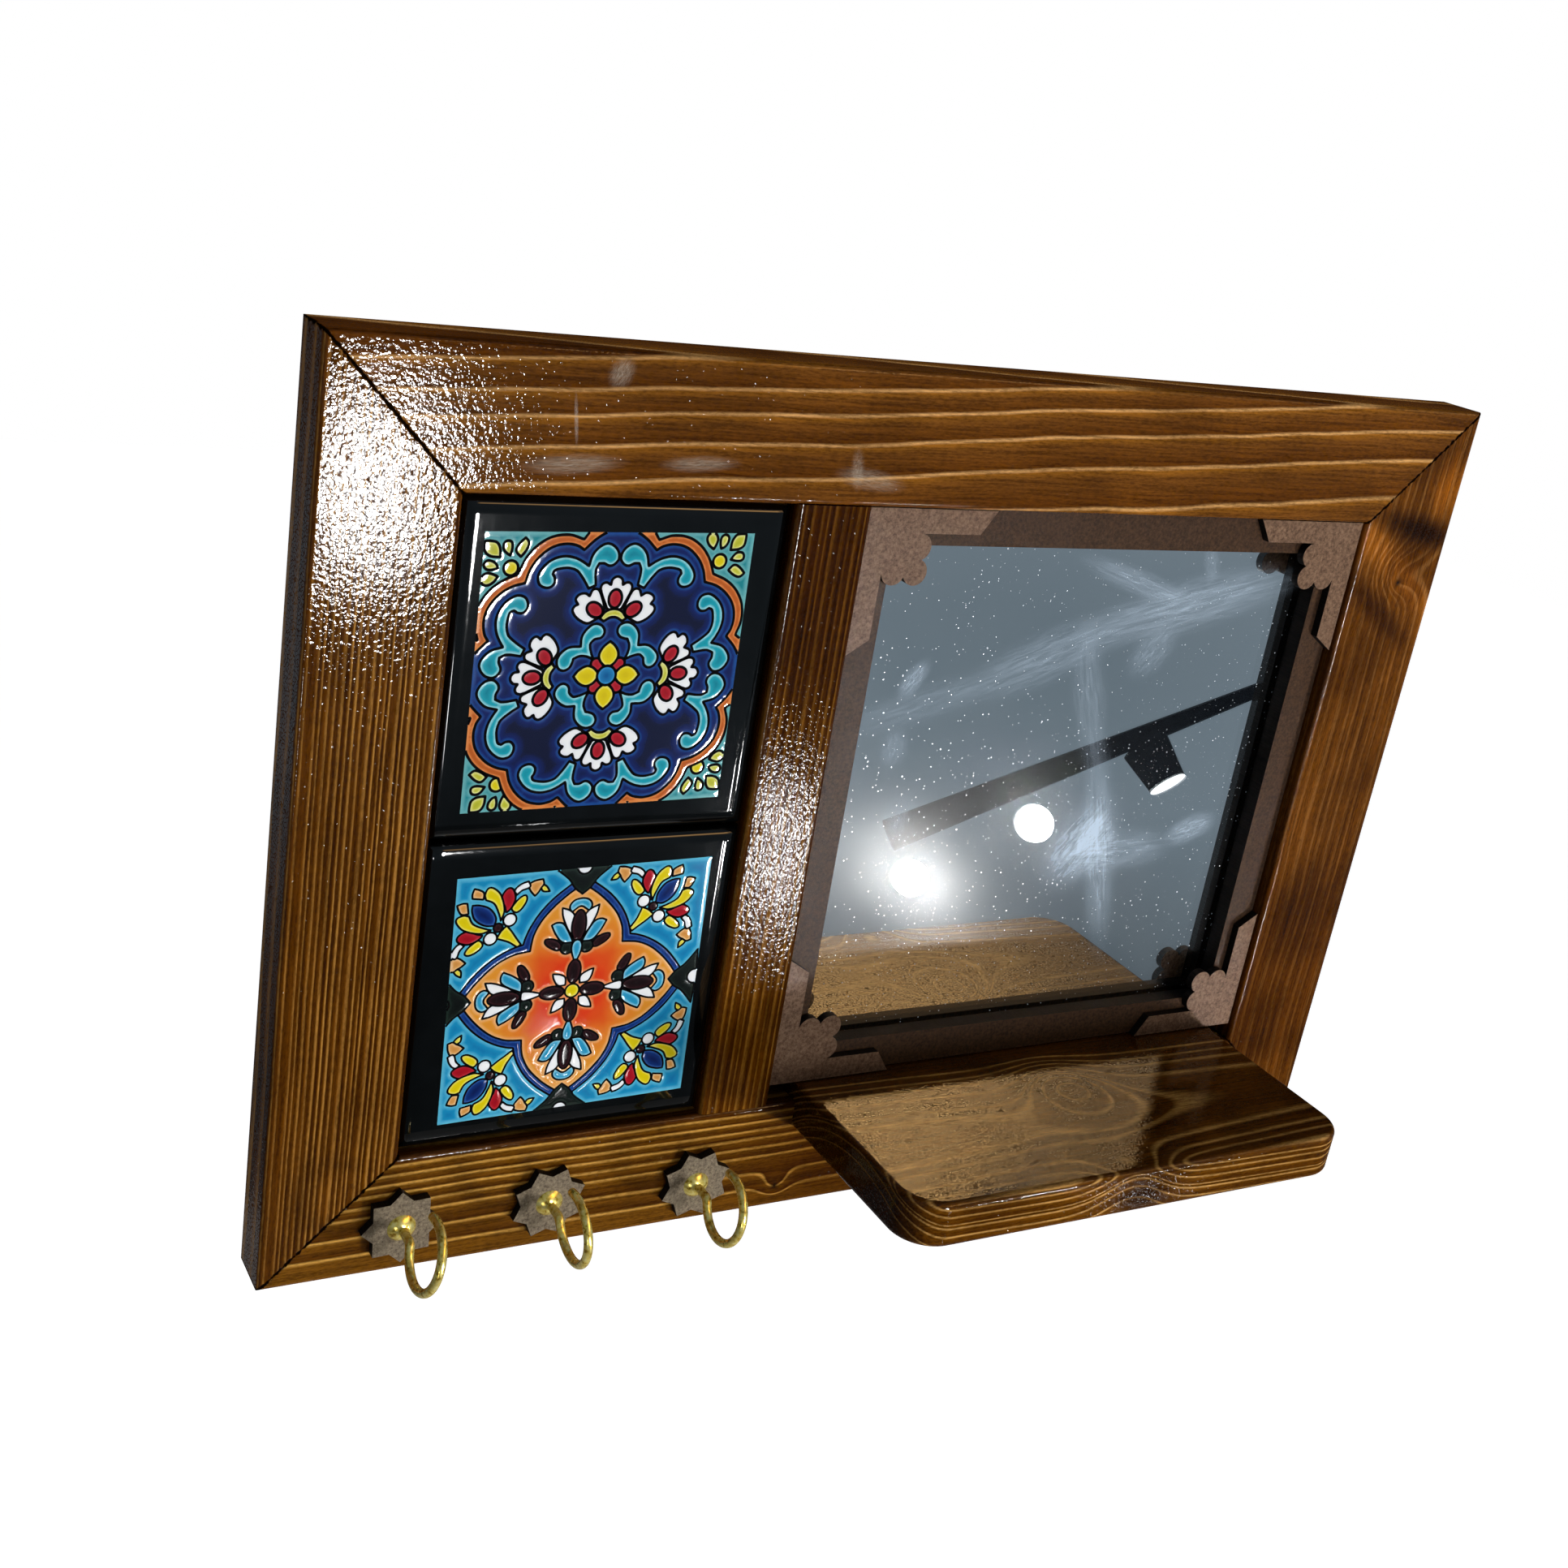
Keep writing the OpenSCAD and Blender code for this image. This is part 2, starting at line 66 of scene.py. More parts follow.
def feed(tree, made, inputs):
    """Gives a node's inputs their values or links."""
    for name, value in inputs.items():
        if isinstance(value, bpy.types.Node):
            value = value.outputs[0]
        if isinstance(value, bpy.types.NodeSocket):
            tree.links.new(value, made.inputs[name])
        else:
            made.inputs[name].default_value = value


def add(tree, kind, inputs=None, stops=(), **settings):
    """Adds one node with its settings. Inputs get a value, a node or one of its outputs."""
    made = tree.nodes.new("ShaderNode" + kind)
    for name, value in settings.items():
        setattr(made, name, value)
    feed(tree, made, inputs or {})
    if stops:
        marks = made.color_ramp.elements
        marks.remove(marks[1])
        marks[0].position, marks[0].color = stops[0]
        for position, colour in stops[1:]:
            marks.new(position).color = colour
    return made


def new_finish(name):
    """A new material with its node tree and its shader."""
    made = bpy.data.materials.new(name)
    made.use_nodes = True
    return made, made.node_tree, made.node_tree.nodes["Principled BSDF"]


def cover(piece, finish):
    """Gives a piece one finish."""
    piece.data.materials.clear()
    piece.data.materials.append(finish)


def in_mm(tree):
    """Places on the part in mm, so that a pattern's scale is its count per mm."""
    place = add(tree, "TexCoord").outputs["Object"]
    return add(tree, "VectorMath", {0: place, "Scale": 1 / MM}, operation="SCALE").outputs[0]


def patch(tree, mm, middle, half, turn):
    """1 at the middle of an oval place on the part and 0 past its rim. half is its half length
    and half width in mm, laid at turn degrees. It reaches SPOT_DEPTH in, and its coordinates
    come back as well."""
    laid = add(tree, "Mapping", {"Vector": mm, "Location": middle,
                                 "Scale": (half[0], SPOT_DEPTH, half[1]),
                                 "Rotation": (0.0, -math.radians(turn), 0.0)},
               vector_type="TEXTURE")
    far = add(tree, "VectorMath", {0: laid}, operation="LENGTH").outputs["Value"]
    near = add(tree, "MapRange", {"Value": far, "From Min": 0.15, "From Max": 1.1, "To Min": 1.0,
                                  "To Max": 0.0}, interpolation_type="SMOOTHSTEP")
    return near.outputs[0], laid.outputs[0]


def wiped(tree, mm, marks):
    """Milky smears, 0 to 1, each with fine hairs drawn along its length."""
    total = None
    for middle, half, turn, strength in marks:
        near, laid = patch(tree, mm, middle, half, turn)
        drawn = add(tree, "VectorMath", {0: laid, 1: (1.2, 1.0, 4.2)}, operation="MULTIPLY")
        hairs = add(tree, "TexNoise", {"Vector": drawn, "Scale": 2.6, "Detail": 6.0,
                                       "Roughness": 0.66, "Distortion": 0.9})
        hairs = add(tree, "MapRange", {"Value": hairs, "From Min": 0.38, "From Max": 0.68,
                                       "To Min": 0.22 * strength, "To Max": 1.15 * strength})
        part = add(tree, "Math", {0: near, 1: hairs}, operation="MULTIPLY")
        total = part if total is None else add(tree, "Math", {0: total, 1: part}, operation="ADD")
    return total


def heart_distance(tree, bent, pith, across, tilt, knots):
    """How far the wood lies from the log's heart line, where knots push the rings aside, and how
    far the knots darken it."""
    turned = add(tree, "Mapping", {"Vector": bent, "Rotation": (0.0, tilt, 0.0)})
    from_pith = add(tree, "VectorMath", {0: turned, 1: pith}, operation="SUBTRACT")
    flat = add(tree, "VectorMath", {0: from_pith, 1: across}, operation="MULTIPLY")
    radius = add(tree, "VectorMath", {0: flat}, operation="LENGTH").outputs["Value"]
    dark = None
    for middle, half, lift, shade in knots:
        away = add(tree, "VectorMath", {0: bent, 1: middle}, operation="SUBTRACT")
        scaled = add(tree, "VectorMath", {0: away, 1: [1 / h for h in half]}, operation="MULTIPLY")
        far = add(tree, "VectorMath", {0: scaled, 1: scaled}, operation="DOT_PRODUCT")
        fade = add(tree, "Math", {0: far.outputs["Value"], 1: -1.0}, operation="MULTIPLY")
        fall = add(tree, "Math", {0: math.e, 1: fade}, operation="POWER")
        pushed = add(tree, "Math", {0: fall, 1: lift}, operation="MULTIPLY")
        radius = add(tree, "Math", {0: radius, 1: pushed}, operation="ADD")
        spot = add(tree, "Math", {0: fall, 1: 8.0}, operation="POWER")
        spot = add(tree, "Math", {0: spot, 1: shade}, operation="MULTIPLY")
        dark = spot if dark is None else add(tree, "Math", {0: dark, 1: spot}, operation="MAXIMUM")
    return radius, dark


def counted_years(tree, radius, rings, deep, body, warm, pale, fine):
    """The colour across years whose ends are given as distances from the heart line."""
    rings = sorted(rings)
    margin = 8.0
    low, high = rings[0] - margin, rings[-1] + margin
    share = add(tree, "MapRange", {"Value": radius, "From Min": low, "From Max": high})
    marks = [(0.0, tone(body))]
    for i, ring in enumerate(rings):
        room = ring - rings[i - 1] if i else margin
        tail = ((-min(2.4, 0.62 * room), body), (-0.8, warm), (-0.25, pale), (0.45, deep))
        if len(rings) > 7:
            tail = ((-min(0.9, 0.4 * room), body), (-0.2, pale), (0.35, deep))
        for off, shade in tail:
            marks.append(((ring + off * fine - low) / (high - low), tone(shade)))
    return add(tree, "ValToRGB", {0: share}, stops=marks)


def even_years(tree, radius, spacing, deep, body, pale, line):
    """The colour across years about spacing mm wide, and how strongly each one shows."""
    year = add(tree, "Math", {0: radius, 1: spacing}, operation="DIVIDE")
    pace = add(tree, "Math", {0: year, 1: 0.37}, operation="MULTIPLY")
    uneven = add(tree, "TexNoise", {"W": pace, "Scale": 1.0, "Detail": 1.0},
                 noise_dimensions="1D")
    year = add(tree, "Math", {0: uneven, 1: 1.4, 2: year}, operation="MULTIPLY_ADD")
    share = add(tree, "Math", {0: year}, operation="FRACT")
    ringed = add(tree, "ValToRGB", {0: share}, stops=(
        (0.0, tone(deep)), (0.35, tone(deep)), (0.56, tone(body)), (0.76, tone(pale)),
        (0.88, tone(pale)), (1.0, tone(deep))))
    # Some years end in a weaker line
    number = add(tree, "Math", {0: year}, operation="FLOOR")
    chance = add(tree, "TexWhiteNoise", {"W": number}, noise_dimensions="1D").outputs["Value"]
    shown = add(tree, "MapRange", {"Value": chance, "To Min": 0.45 * line, "To Max": line})
    return ringed, shown


def open_mitre(tree, mm):
    """1 in the glue line of a mitre. It is open here and there, and takes more stain."""
    folded = add(tree, "VectorMath", {0: mm}, operation="ABSOLUTE")
    split = add(tree, "SeparateXYZ", {0: folded})
    off = add(tree, "Math", {0: split.outputs["X"], 1: split.outputs["Z"]}, operation="SUBTRACT")
    off = add(tree, "Math", {0: off, 1: (FRAME_W - FRAME_H) / 2}, operation="SUBTRACT")
    gap = add(tree, "Math", {0: off}, operation="ABSOLUTE")
    chips = add(tree, "TexNoise", {"Vector": mm, "Scale": 0.5, "Detail": 4.0, "Roughness": 0.65})
    gap = add(tree, "Math", {0: chips, 1: 3.2, 2: gap}, operation="MULTIPLY_ADD")
    return add(tree, "MapRange", {"Value": gap, "From Min": 2.0, "From Max": 2.5,
                                  "To Min": 1.0, "To Max": 0.0})


def brush_varnish(tree, shader, mm, across, streak, open_joint):
    """Thick gloss varnish: orange peel, dull where it is thin between its cells, which are about
    1 mm across, and dust nibs of up to 0.5 mm in it."""
    peel = add(tree, "TexNoise", {"Vector": mm, "Scale": 0.8, "Detail": 1.5, "Roughness": 0.5})
    fitted = add(tree, "VectorMath", {0: mm, 1: [0.8 if a == 0 else 1.0 for a in across]},
                 operation="MULTIPLY")
    cells = add(tree, "TexVoronoi", {"Vector": fitted, "Scale": 1.0}, feature="DISTANCE_TO_EDGE")
    gloss = add(tree, "MapRange", {"Value": cells, "From Min": 0.03, "From Max": 0.13,
                                   "To Min": 0.0, "To Max": 1.0})
    nibs = add(tree, "TexVoronoi", {"Vector": mm, "Scale": 0.62})
    chance = add(tree, "SeparateColor", {0: nibs.outputs["Color"]})
    size = add(tree, "MapRange", {"Value": chance.outputs[0], "From Min": 0.1, "From Max": 1.0,
                                  "To Min": 0.0, "To Max": 0.32})
    near = add(tree, "Math", {0: size, 1: nibs.outputs["Distance"]}, operation="SUBTRACT")
    nib = add(tree, "MapRange", {"Value": near, "From Min": 0.0, "From Max": 0.24},
              interpolation_type="SMOOTHSTEP")
    height = add(tree, "Math", {0: streak, 1: 0.08, 2: peel}, operation="MULTIPLY_ADD")
    height = add(tree, "Math", {0: nib, 1: 0.75, 2: height}, operation="MULTIPLY_ADD")
    if open_joint is not None:
        gloss = add(tree, "Math", {0: gloss, 1: open_joint}, operation="SUBTRACT", use_clamp=True)
        height = add(tree, "Math", {0: open_joint, 1: -2.5, 2: height}, operation="MULTIPLY_ADD")
    skin = add(tree, "Bump", {"Strength": 1.0, "Distance": 0.06 * MM, "Height": height})
    feed(tree, shader, {"Coat Weight": gloss, "Coat Roughness": 0.04, "Coat IOR": 1.33,
                        "Coat Normal": skin})


def varnished_pine(name, pith, along, rings=(), spacing=2.0, tilt=0.0, sway=1.5, deep="#5c3206",
                   body="#6e4315", warm="#8d5a19", pale="#d4a467", line=1.0, fine=1.0, knots=(),
                   figure_and_highlight=(), smears=(), mitred=True, blotch=0.5):
    """Stained pine under gloss varnish. The soft wood that starts a year drinks the stain and
    goes dark, and the hard wood that ends it is a thin pale line with a sharp outer edge. pith is
    a point on the log's heart line in mm, along is 0 or 2, the axis that the board runs along,
    and tilt the angle between them. rings are the years' distances from the heart line; without
    them the years are spacing wide. sway is how far they wander, in mm, line how clearly they
    show, fine narrows their pale ends, and blotch is how cloudy the stain is."""
    finish, tree, shader = new_finish(name)
    across = [0.0 if i == along else 1.0 for i in range(3)]
    mm = in_mm(tree)

    # The years wander slowly, over about 110 mm along the board and 90 mm across it
    slow = add(tree, "VectorMath", {0: mm, 1: [1 / 110 if a == 0 else 1 / 90 for a in across]},
               operation="MULTIPLY")
    swaying = add(tree, "TexNoise", {"Vector": slow, "Scale": 1.0, "Detail": 3.0})
    centred = add(tree, "VectorMath", {0: swaying.outputs["Color"], 1: (0.5, 0.5, 0.5)},
                  operation="SUBTRACT")
    shift = add(tree, "VectorMath", {0: centred, "Scale": 2 * sway}, operation="SCALE")
    bent = add(tree, "VectorMath", {0: mm, 1: shift}, operation="ADD")
    radius, dark = heart_distance(tree, bent, pith, across, tilt, knots)
    if rings:
        ringed = counted_years(tree, radius, rings, deep, body, warm, pale, fine)
        shown = line
    else:
        ringed, shown = even_years(tree, radius, spacing, deep, body, pale, line)
    plain = add(tree, "MixRGB", {0: shown, 1: tone(body), 2: ringed})

    # Flecks 0.6 mm across and 2.5 mm long, streaks 30 mm long, and cloudy stain
    flecked = add(tree, "VectorMath", {0: mm, 1: [1 / 2.5 if a == 0 else 1 / 0.6 for a in across]},
                  operation="MULTIPLY")
    fleck = add(tree, "TexNoise", {"Vector": flecked, "Scale": 1.0, "Detail": 3.0,
                                   "Roughness": 0.65})
    drawn = add(tree, "VectorMath", {0: bent, 1: [1 / 30 if a == 0 else 1 / 0.8 for a in across]},
                operation="MULTIPLY")
    streak = add(tree, "TexNoise", {"Vector": drawn, "Scale": 1.0, "Detail": 2.0})
    fibre = add(tree, "Math", {0: fleck, 1: streak}, operation="ADD")
    fibre = add(tree, "Math", {0: fibre, 1: 0.5}, operation="MULTIPLY")
    fibres = add(tree, "ValToRGB", {0: fibre}, stops=(
        (0.39, (0.46, 0.42, 0.34, 1.0)), (0.5, (0.96, 0.94, 0.92, 1.0)),
        (0.61, (1.4, 1.37, 1.3, 1.0))))
    grained = add(tree, "MixRGB", {0: 0.85, 1: plain, 2: fibres}, blend_type="MULTIPLY")
    cloud = add(tree, "TexNoise", {"Vector": slow, "Scale": 3.6, "Detail": 4.0})
    clouds = add(tree, "ValToRGB", {0: cloud}, stops=(
        (0.32, (0.55, 0.50, 0.40, 1.0)), (0.62, (1.15, 1.13, 1.1, 1.0))))
    colour = add(tree, "MixRGB", {0: blotch, 1: grained, 2: clouds}, blend_type="MULTIPLY")

    # Figures of the wood, and one painted highlight, multiply the colour
    for middle, half, turn, tint in figure_and_highlight:
        near, _ = patch(tree, mm, middle, half, turn)
        colour = add(tree, "MixRGB", {0: near, 1: colour, 2: tint + (1.0,)}, blend_type="MULTIPLY")
    if dark is not None:
        colour = add(tree, "MixRGB", {0: dark, 1: colour, 2: tone("#160a03")})

    # Faces across the grain are darkened: the end grain drinks most stain, and part of the strength
    # is painted shade, chosen for the shelf's shaded left end
    facing = add(tree, "SeparateXYZ", {0: add(tree, "NewGeometry").outputs["Normal"]})
    end = add(tree, "Math", {0: facing.outputs["XYZ"[along]]}, operation="ABSOLUTE")
    end = add(tree, "MapRange", {"Value": end, "From Min": 0.5, "From Max": 1.0})
    colour = add(tree, "MixRGB", {0: end, 1: colour, 2: (0.3, 0.26, 0.2, 1.0)},
                 blend_type="MULTIPLY")

    open_joint = None
    if mitred:
        open_joint = open_mitre(tree, mm)
        colour = add(tree, "MixRGB", {0: open_joint, 1: colour, 2: tone("#0a0401")})
    if smears:
        front = add(tree, "Math", {0: facing.outputs["Y"], 1: -0.5}, operation="LESS_THAN")
        milky = add(tree, "Math", {0: wiped(tree, mm, smears), 1: front}, operation="MULTIPLY")
        colour = add(tree, "MixRGB", {0: milky, 1: colour, 2: tone("#c9bba8")})
    feed(tree, shader, {"Base Color": colour, "Roughness": 0.55, "Specular IOR Level": 0.0})
    brush_varnish(tree, shader, mm, across, streak, open_joint)
    return finish


def years_between(pith, heights):
    """The years' distances from a rail's heart line, from where they end on its face."""
    return [math.hypot(FACE_Y - pith[1], height - pith[2]) for height in heights]


TOP_PITH = (0.0, 25.0, 60.0)
BOTTOM_PITH = (0.0, 25.0, -190.0)

# A knot is its middle, its half sizes, how far it pushes the rings and how dark it is. A figure
# is a place where the wood is lighter or darker, and one on the right stile is a painted highlight
# instead: its middle, half length and half width, turn, and what multiplies the colour there. A
# smear has its strength in the last place instead.
BOARDS = {
    "left_stile": dict(pith=(-420.0, 30.0, 0.0), along=2, spacing=1.85, sway=1.0,
                       deep="#3a1c01", body="#653a08", pale="#ac7d3a"),
    "right_stile": dict(
        pith=(90.0, 90.0, 0.0), along=2, spacing=2.9, sway=3.0, line=0.3, deep="#3c2004",
        body="#64390a", pale="#a87c44", blotch=1.0,
        knots=(((185.5, -20.0, 84.0), (15.0, 40.0, 9.0), 9.0, 0.0),
               ((185.8, -20.0, 80.4), (4.2, 40.0, 4.2), 2.0, 1.0)),
        figure_and_highlight=(((183.0, FACE_Y, 83.0), (60.0, 12.0), -34.0, (1.6, 1.6, 1.7)),
                ((183.0, FACE_Y, 85.0), (60.0, 7.0), -34.0, (1.5, 1.5, 1.6)),
                ((190.0, FACE_Y, 99.0), (34.0, 7.5), -12.0, (0.16, 0.13, 0.09)),
                ((178.0, FACE_Y, 70.0), (34.0, 6.0), -34.0, (0.45, 0.4, 0.3)),
                # Painted highlight: the glow and glints of the curly grain high on the right stile,
                # multiplied into its colour
                ((197.0, FACE_Y, 115.0), (11.0, 13.0), 0.0, (2.0, 1.9, 1.6)),
                ((184.0, FACE_Y, -80.0), (60.0, 80.0), 0.0, (0.6, 0.54, 0.44)))),
    "top_rail": dict(
        pith=TOP_PITH, along=0, tilt=0.057, sway=2.4,
        rings=years_between(TOP_PITH, (99.7, 112.5, 122.5, 131.0, 137.9, 146.0)),
        smears=(((-123.0, FACE_Y, 135.0), (5.0, 4.0), 60.0, 0.55),
                ((-134.0, FACE_Y, 110.0), (16.0, 3.2), 4.0, 0.55),
                ((-96.0, FACE_Y, 111.5), (13.0, 2.6), 3.0, 0.5),
                ((-40.0, FACE_Y, 109.0), (13.0, 3.6), -8.0, 0.45),
                ((-45.0, FACE_Y, 112.0), (2.5, 7.0), 10.0, 0.35),
                ((-134.5, FACE_Y, 122.0), (0.7, 8.0), 8.0, 0.6))),
    "bottom_rail": dict(
        pith=BOTTOM_PITH, along=0, sway=1.6, deep="#4e2a04", body="#6e460e", pale="#d0a04c",
        rings=years_between(BOTTOM_PITH, (
            -133.2, -126.9, -120.3, -116.7, -113.0, -109.9, -106.6, -103.4)),
        knots=(((-29.0, FACE_Y, -132.4), (5.5, 30.0, 5.5), 5.5, 0.0),
               ((-29.0, FACE_Y, -133.5), (4.0, 30.0, 4.0), 0.0, 1.0)),
        figure_and_highlight=(((0.0, FACE_Y, -118.0), (80.0, 60.0), 0.0, (0.5, 0.42, 0.3)),)),
    "mullion": dict(pith=(120.0, 60.0, 0.0), along=2, spacing=2.3, sway=0.8, deep="#3e1c00",
                    body="#5c3404", pale="#9a6c28", line=0.7, mitred=False, blotch=0.75,
                    figure_and_highlight=(((-50.0, FACE_Y, 80.0), (40.0, 80.0), 0.0, (0.42, 0.36, 0.28)),)),
}
for name, look in BOARDS.items():
    cover(nodes[name], varnished_pine("stained_varnished_pine_" + name, **look))

# ---- Dowels ----
# Turned beech pins, 6 mm thick: two glued across each mitre, and two into each end of the
# upright bar. They are left bare.


def plain_wood(name, dark, light):
    """Bare wood or board: pale, dry and fibrous, with flecks about 1 mm across."""
    finish, tree, shader = new_finish(name)
    fleck = add(tree, "TexNoise", {"Vector": in_mm(tree), "Scale": 0.9, "Detail": 4.0})
    colour = add(tree, "ValToRGB", {0: fleck}, stops=((0.35, tone(dark)), (0.65, tone(light))))
    rough = add(tree, "Bump", {"Strength": 0.6, "Distance": 0.05 * MM, "Height": fleck})
    feed(tree, shader, {"Base Color": colour, "Roughness": 0.8, "Normal": rough})
    return finish


beech = plain_wood("turned_beech", "#b98f5c", "#d8b482")
for name in ("mitre_dowels", "mullion_dowels"):
    cover(nodes[name], beech)

# ---- Tiles ----
# Two pressed clay tiles with black glazed, cushioned edges. Their ornament is drawn with a wax
# line, and each field between the lines is flooded with coloured glaze that stands a little
# proud, paler where it thins towards the line.

tile_low, tile_high = box_mm("upper_tile")
TILE_X = (tile_low[0] + tile_high[0]) / 2
TILE_HALF = (tile_high[0] - tile_low[0]) / 2
TILE_FACE = tile_low[1]
FLAT_HALF = 44.5
PATTERN_HALF = 40.83
# Heights over the tile's face, and the width over which a pool rises to its full height
LINE_H = 0.075
LINE_FOOT = 0.03
POOL_BASE = 0.04
POOL_RISE = 0.05
POOL_EDGE = 1.3
HIDDEN_H = 0.01
# How far apart the points of a pool's mesh stand, and its rows as a share of that
MESH_STEP = 0.62
ROW_STEP = 0.866


def black_glaze():
    """Black tile glaze: deep and wet looking, with a ripple some 9 mm wide, and rolling off
    towards the tile's edge beyond its flat middle."""
    finish, tree, shader = new_finish("black_tile_glaze")
    mm = in_mm(tree)
    ripple = add(tree, "TexNoise", {"Vector": mm, "Scale": 0.11, "Detail": 2.0})
    colour = add(tree, "ValToRGB", {0: ripple}, stops=(
        (0.3, tone("#020303")), (0.7, tone("#060809"))))

    # The distance from the middle of either tile, and how far it lies past the flat
    aside = add(tree, "VectorMath", {0: mm, 1: (TILE_X, 0.0, 0.0)}, operation="SUBTRACT")
    aside = add(tree, "VectorMath", {0: aside}, operation="ABSOLUTE")
    out = add(tree, "VectorMath", {0: aside, 1: (0.0, 0.0, TILE_HALF)}, operation="SUBTRACT")
    out = add(tree, "VectorMath", {0: out}, operation="ABSOLUTE")
    past = add(tree, "VectorMath", {0: out, 1: (FLAT_HALF, 1 / MM, FLAT_HALF)},
               operation="SUBTRACT")
    past = add(tree, "VectorMath", {0: past}, operation="MAXIMUM")
    roll = add(tree, "VectorMath", {0: past, 1: past}, operation="DOT_PRODUCT").outputs["Value"]
    height = add(tree, "Math", {0: roll, 1: -0.034}, operation="MULTIPLY")
    height = add(tree, "Math", {0: ripple, 1: 0.06, 2: height}, operation="MULTIPLY_ADD")
    skin = add(tree, "Bump", {"Strength": 1.0, "Distance": MM, "Height": height})
    feed(tree, shader, {"Base Color": colour, "Roughness": 0.05, "Specular IOR Level": 0.4,
                        "Normal": skin})
    return finish


glaze_black = black_glaze()
for name in ("upper_tile", "lower_tile"):
    cover(nodes[name], glaze_black)
cover(nodes["tile_packing"], plain_wood("raw_fibre_board", "#7c6148", "#a1825f"))


def coloured_glaze(name, rim, body, core, reach, hot=None):
    """Majolica glaze: thin and pale by the wax line, full from reach mm inside the pool. It ran
    in drifts some 2 mm wide, and a hot colour lies over the middle of the ornament."""
    finish, tree, shader = new_finish("glaze_" + name)
    rim_mm = add(tree, "Attribute", attribute_name="rim").outputs["Fac"]
    flow = add(tree, "TexNoise", {"Vector": in_mm(tree), "Scale": 0.42, "Detail": 3.0})
    moved = add(tree, "Math", {0: flow, 1: 0.7, 2: rim_mm}, operation="MULTIPLY_ADD")
    deep = add(tree, "Math", {0: moved, 1: 0.35}, operation="SUBTRACT")
    share = add(tree, "Math", {0: deep, 1: reach}, operation="DIVIDE")
    colour = add(tree, "ValToRGB", {0: share}, stops=(
        (0.0, tone(rim)), (0.28, tone(body)), (1.0, tone(core))))
    if hot:
        out = add(tree, "Attribute", attribute_name="reach").outputs["Fac"]
        near = add(tree, "MapRange", {"Value": out, "From Min": 10.0, "From Max": 27.0,
                                      "To Min": 0.92, "To Max": 0.0})
        thick = add(tree, "MapRange", {"Value": deep, "From Min": 0.0, "From Max": 1.0,
                                       "To Min": 0.35, "To Max": 1.0})
        both = add(tree, "Math", {0: near, 1: thick}, operation="MULTIPLY")
        colour = add(tree, "MixRGB", {0: both, 1: colour, 2: tone(hot)})
    feed(tree, shader, {"Base Color": colour, "Roughness": 0.07, "Coat Weight": 0.5,
                        "Coat Roughness": 0.03})
    return finish


def wax_line():
    """The dry black line between two glazes, with a grit of about 0.4 mm."""
    finish, tree, shader = new_finish("black_wax_line")
    speck = add(tree, "TexNoise", {"Vector": in_mm(tree), "Scale": 2.5, "Detail": 2.0})
    colour = add(tree, "ValToRGB", {0: speck}, stops=(
        (0.3, tone("#010103")), (0.7, tone("#040407"))))
    feed(tree, shader, {"Base Color": colour, "Roughness": 0.8, "Specular IOR Level": 0.05})
    return finish


line_black = wax_line()
# Each glaze by the line, in the pool and at its fullest, how far in that is, and its hot colour
GLAZES = {
    "navy": ("#164a94", "#081e62", "#030830", 3.0),
    "turquoise": ("#a2e4ee", "#1aa6b9", "#0a7f94", 2.6),
    "teal": ("#6fb8bc", "#1f8a94", "#0a626e", 4.0),
    "orange": ("#e88f48", "#c4601e", "#a84e18", 2.0),
    "white": ("#eef2f8", "#fafcfe", "#ffffff", 2.0),
    "red": ("#b42434", "#b00c1e", "#8e0819", 2.0),
    "yellow": ("#efe668", "#e8d400", "#dcc400", 2.0),
    "lime": ("#eaea9a", "#cccc3a", "#a9a922", 2.0),
    "blue": ("#3a9ad8", "#1a78b4", "#0f5f9a", 2.0),
    "sky": ("#5cbede", "#178fc2", "#0a60a2", 4.4),
    "ink": ("#2a5aa8", "#0b2f78", "#061c58", 2.0),
    "flame": ("#f2b878", "#e8992e", "#e07c22", 4.0, "#e02d10"),
    "peach": ("#f0c892", "#e0a052", "#cc7e34", 2.0),
    "maroon": ("#3a141a", "#1d070a", "#120406", 2.0),
    "pale_blue": ("#90d4ec", "#2c9eca", "#1784b8", 2.4),
    "bottle": ("#1a2a22", "#0c1510", "#060b08", 2.0),
}
glazes = {name: coloured_glaze(name, *look) for name, look in GLAZES.items()}

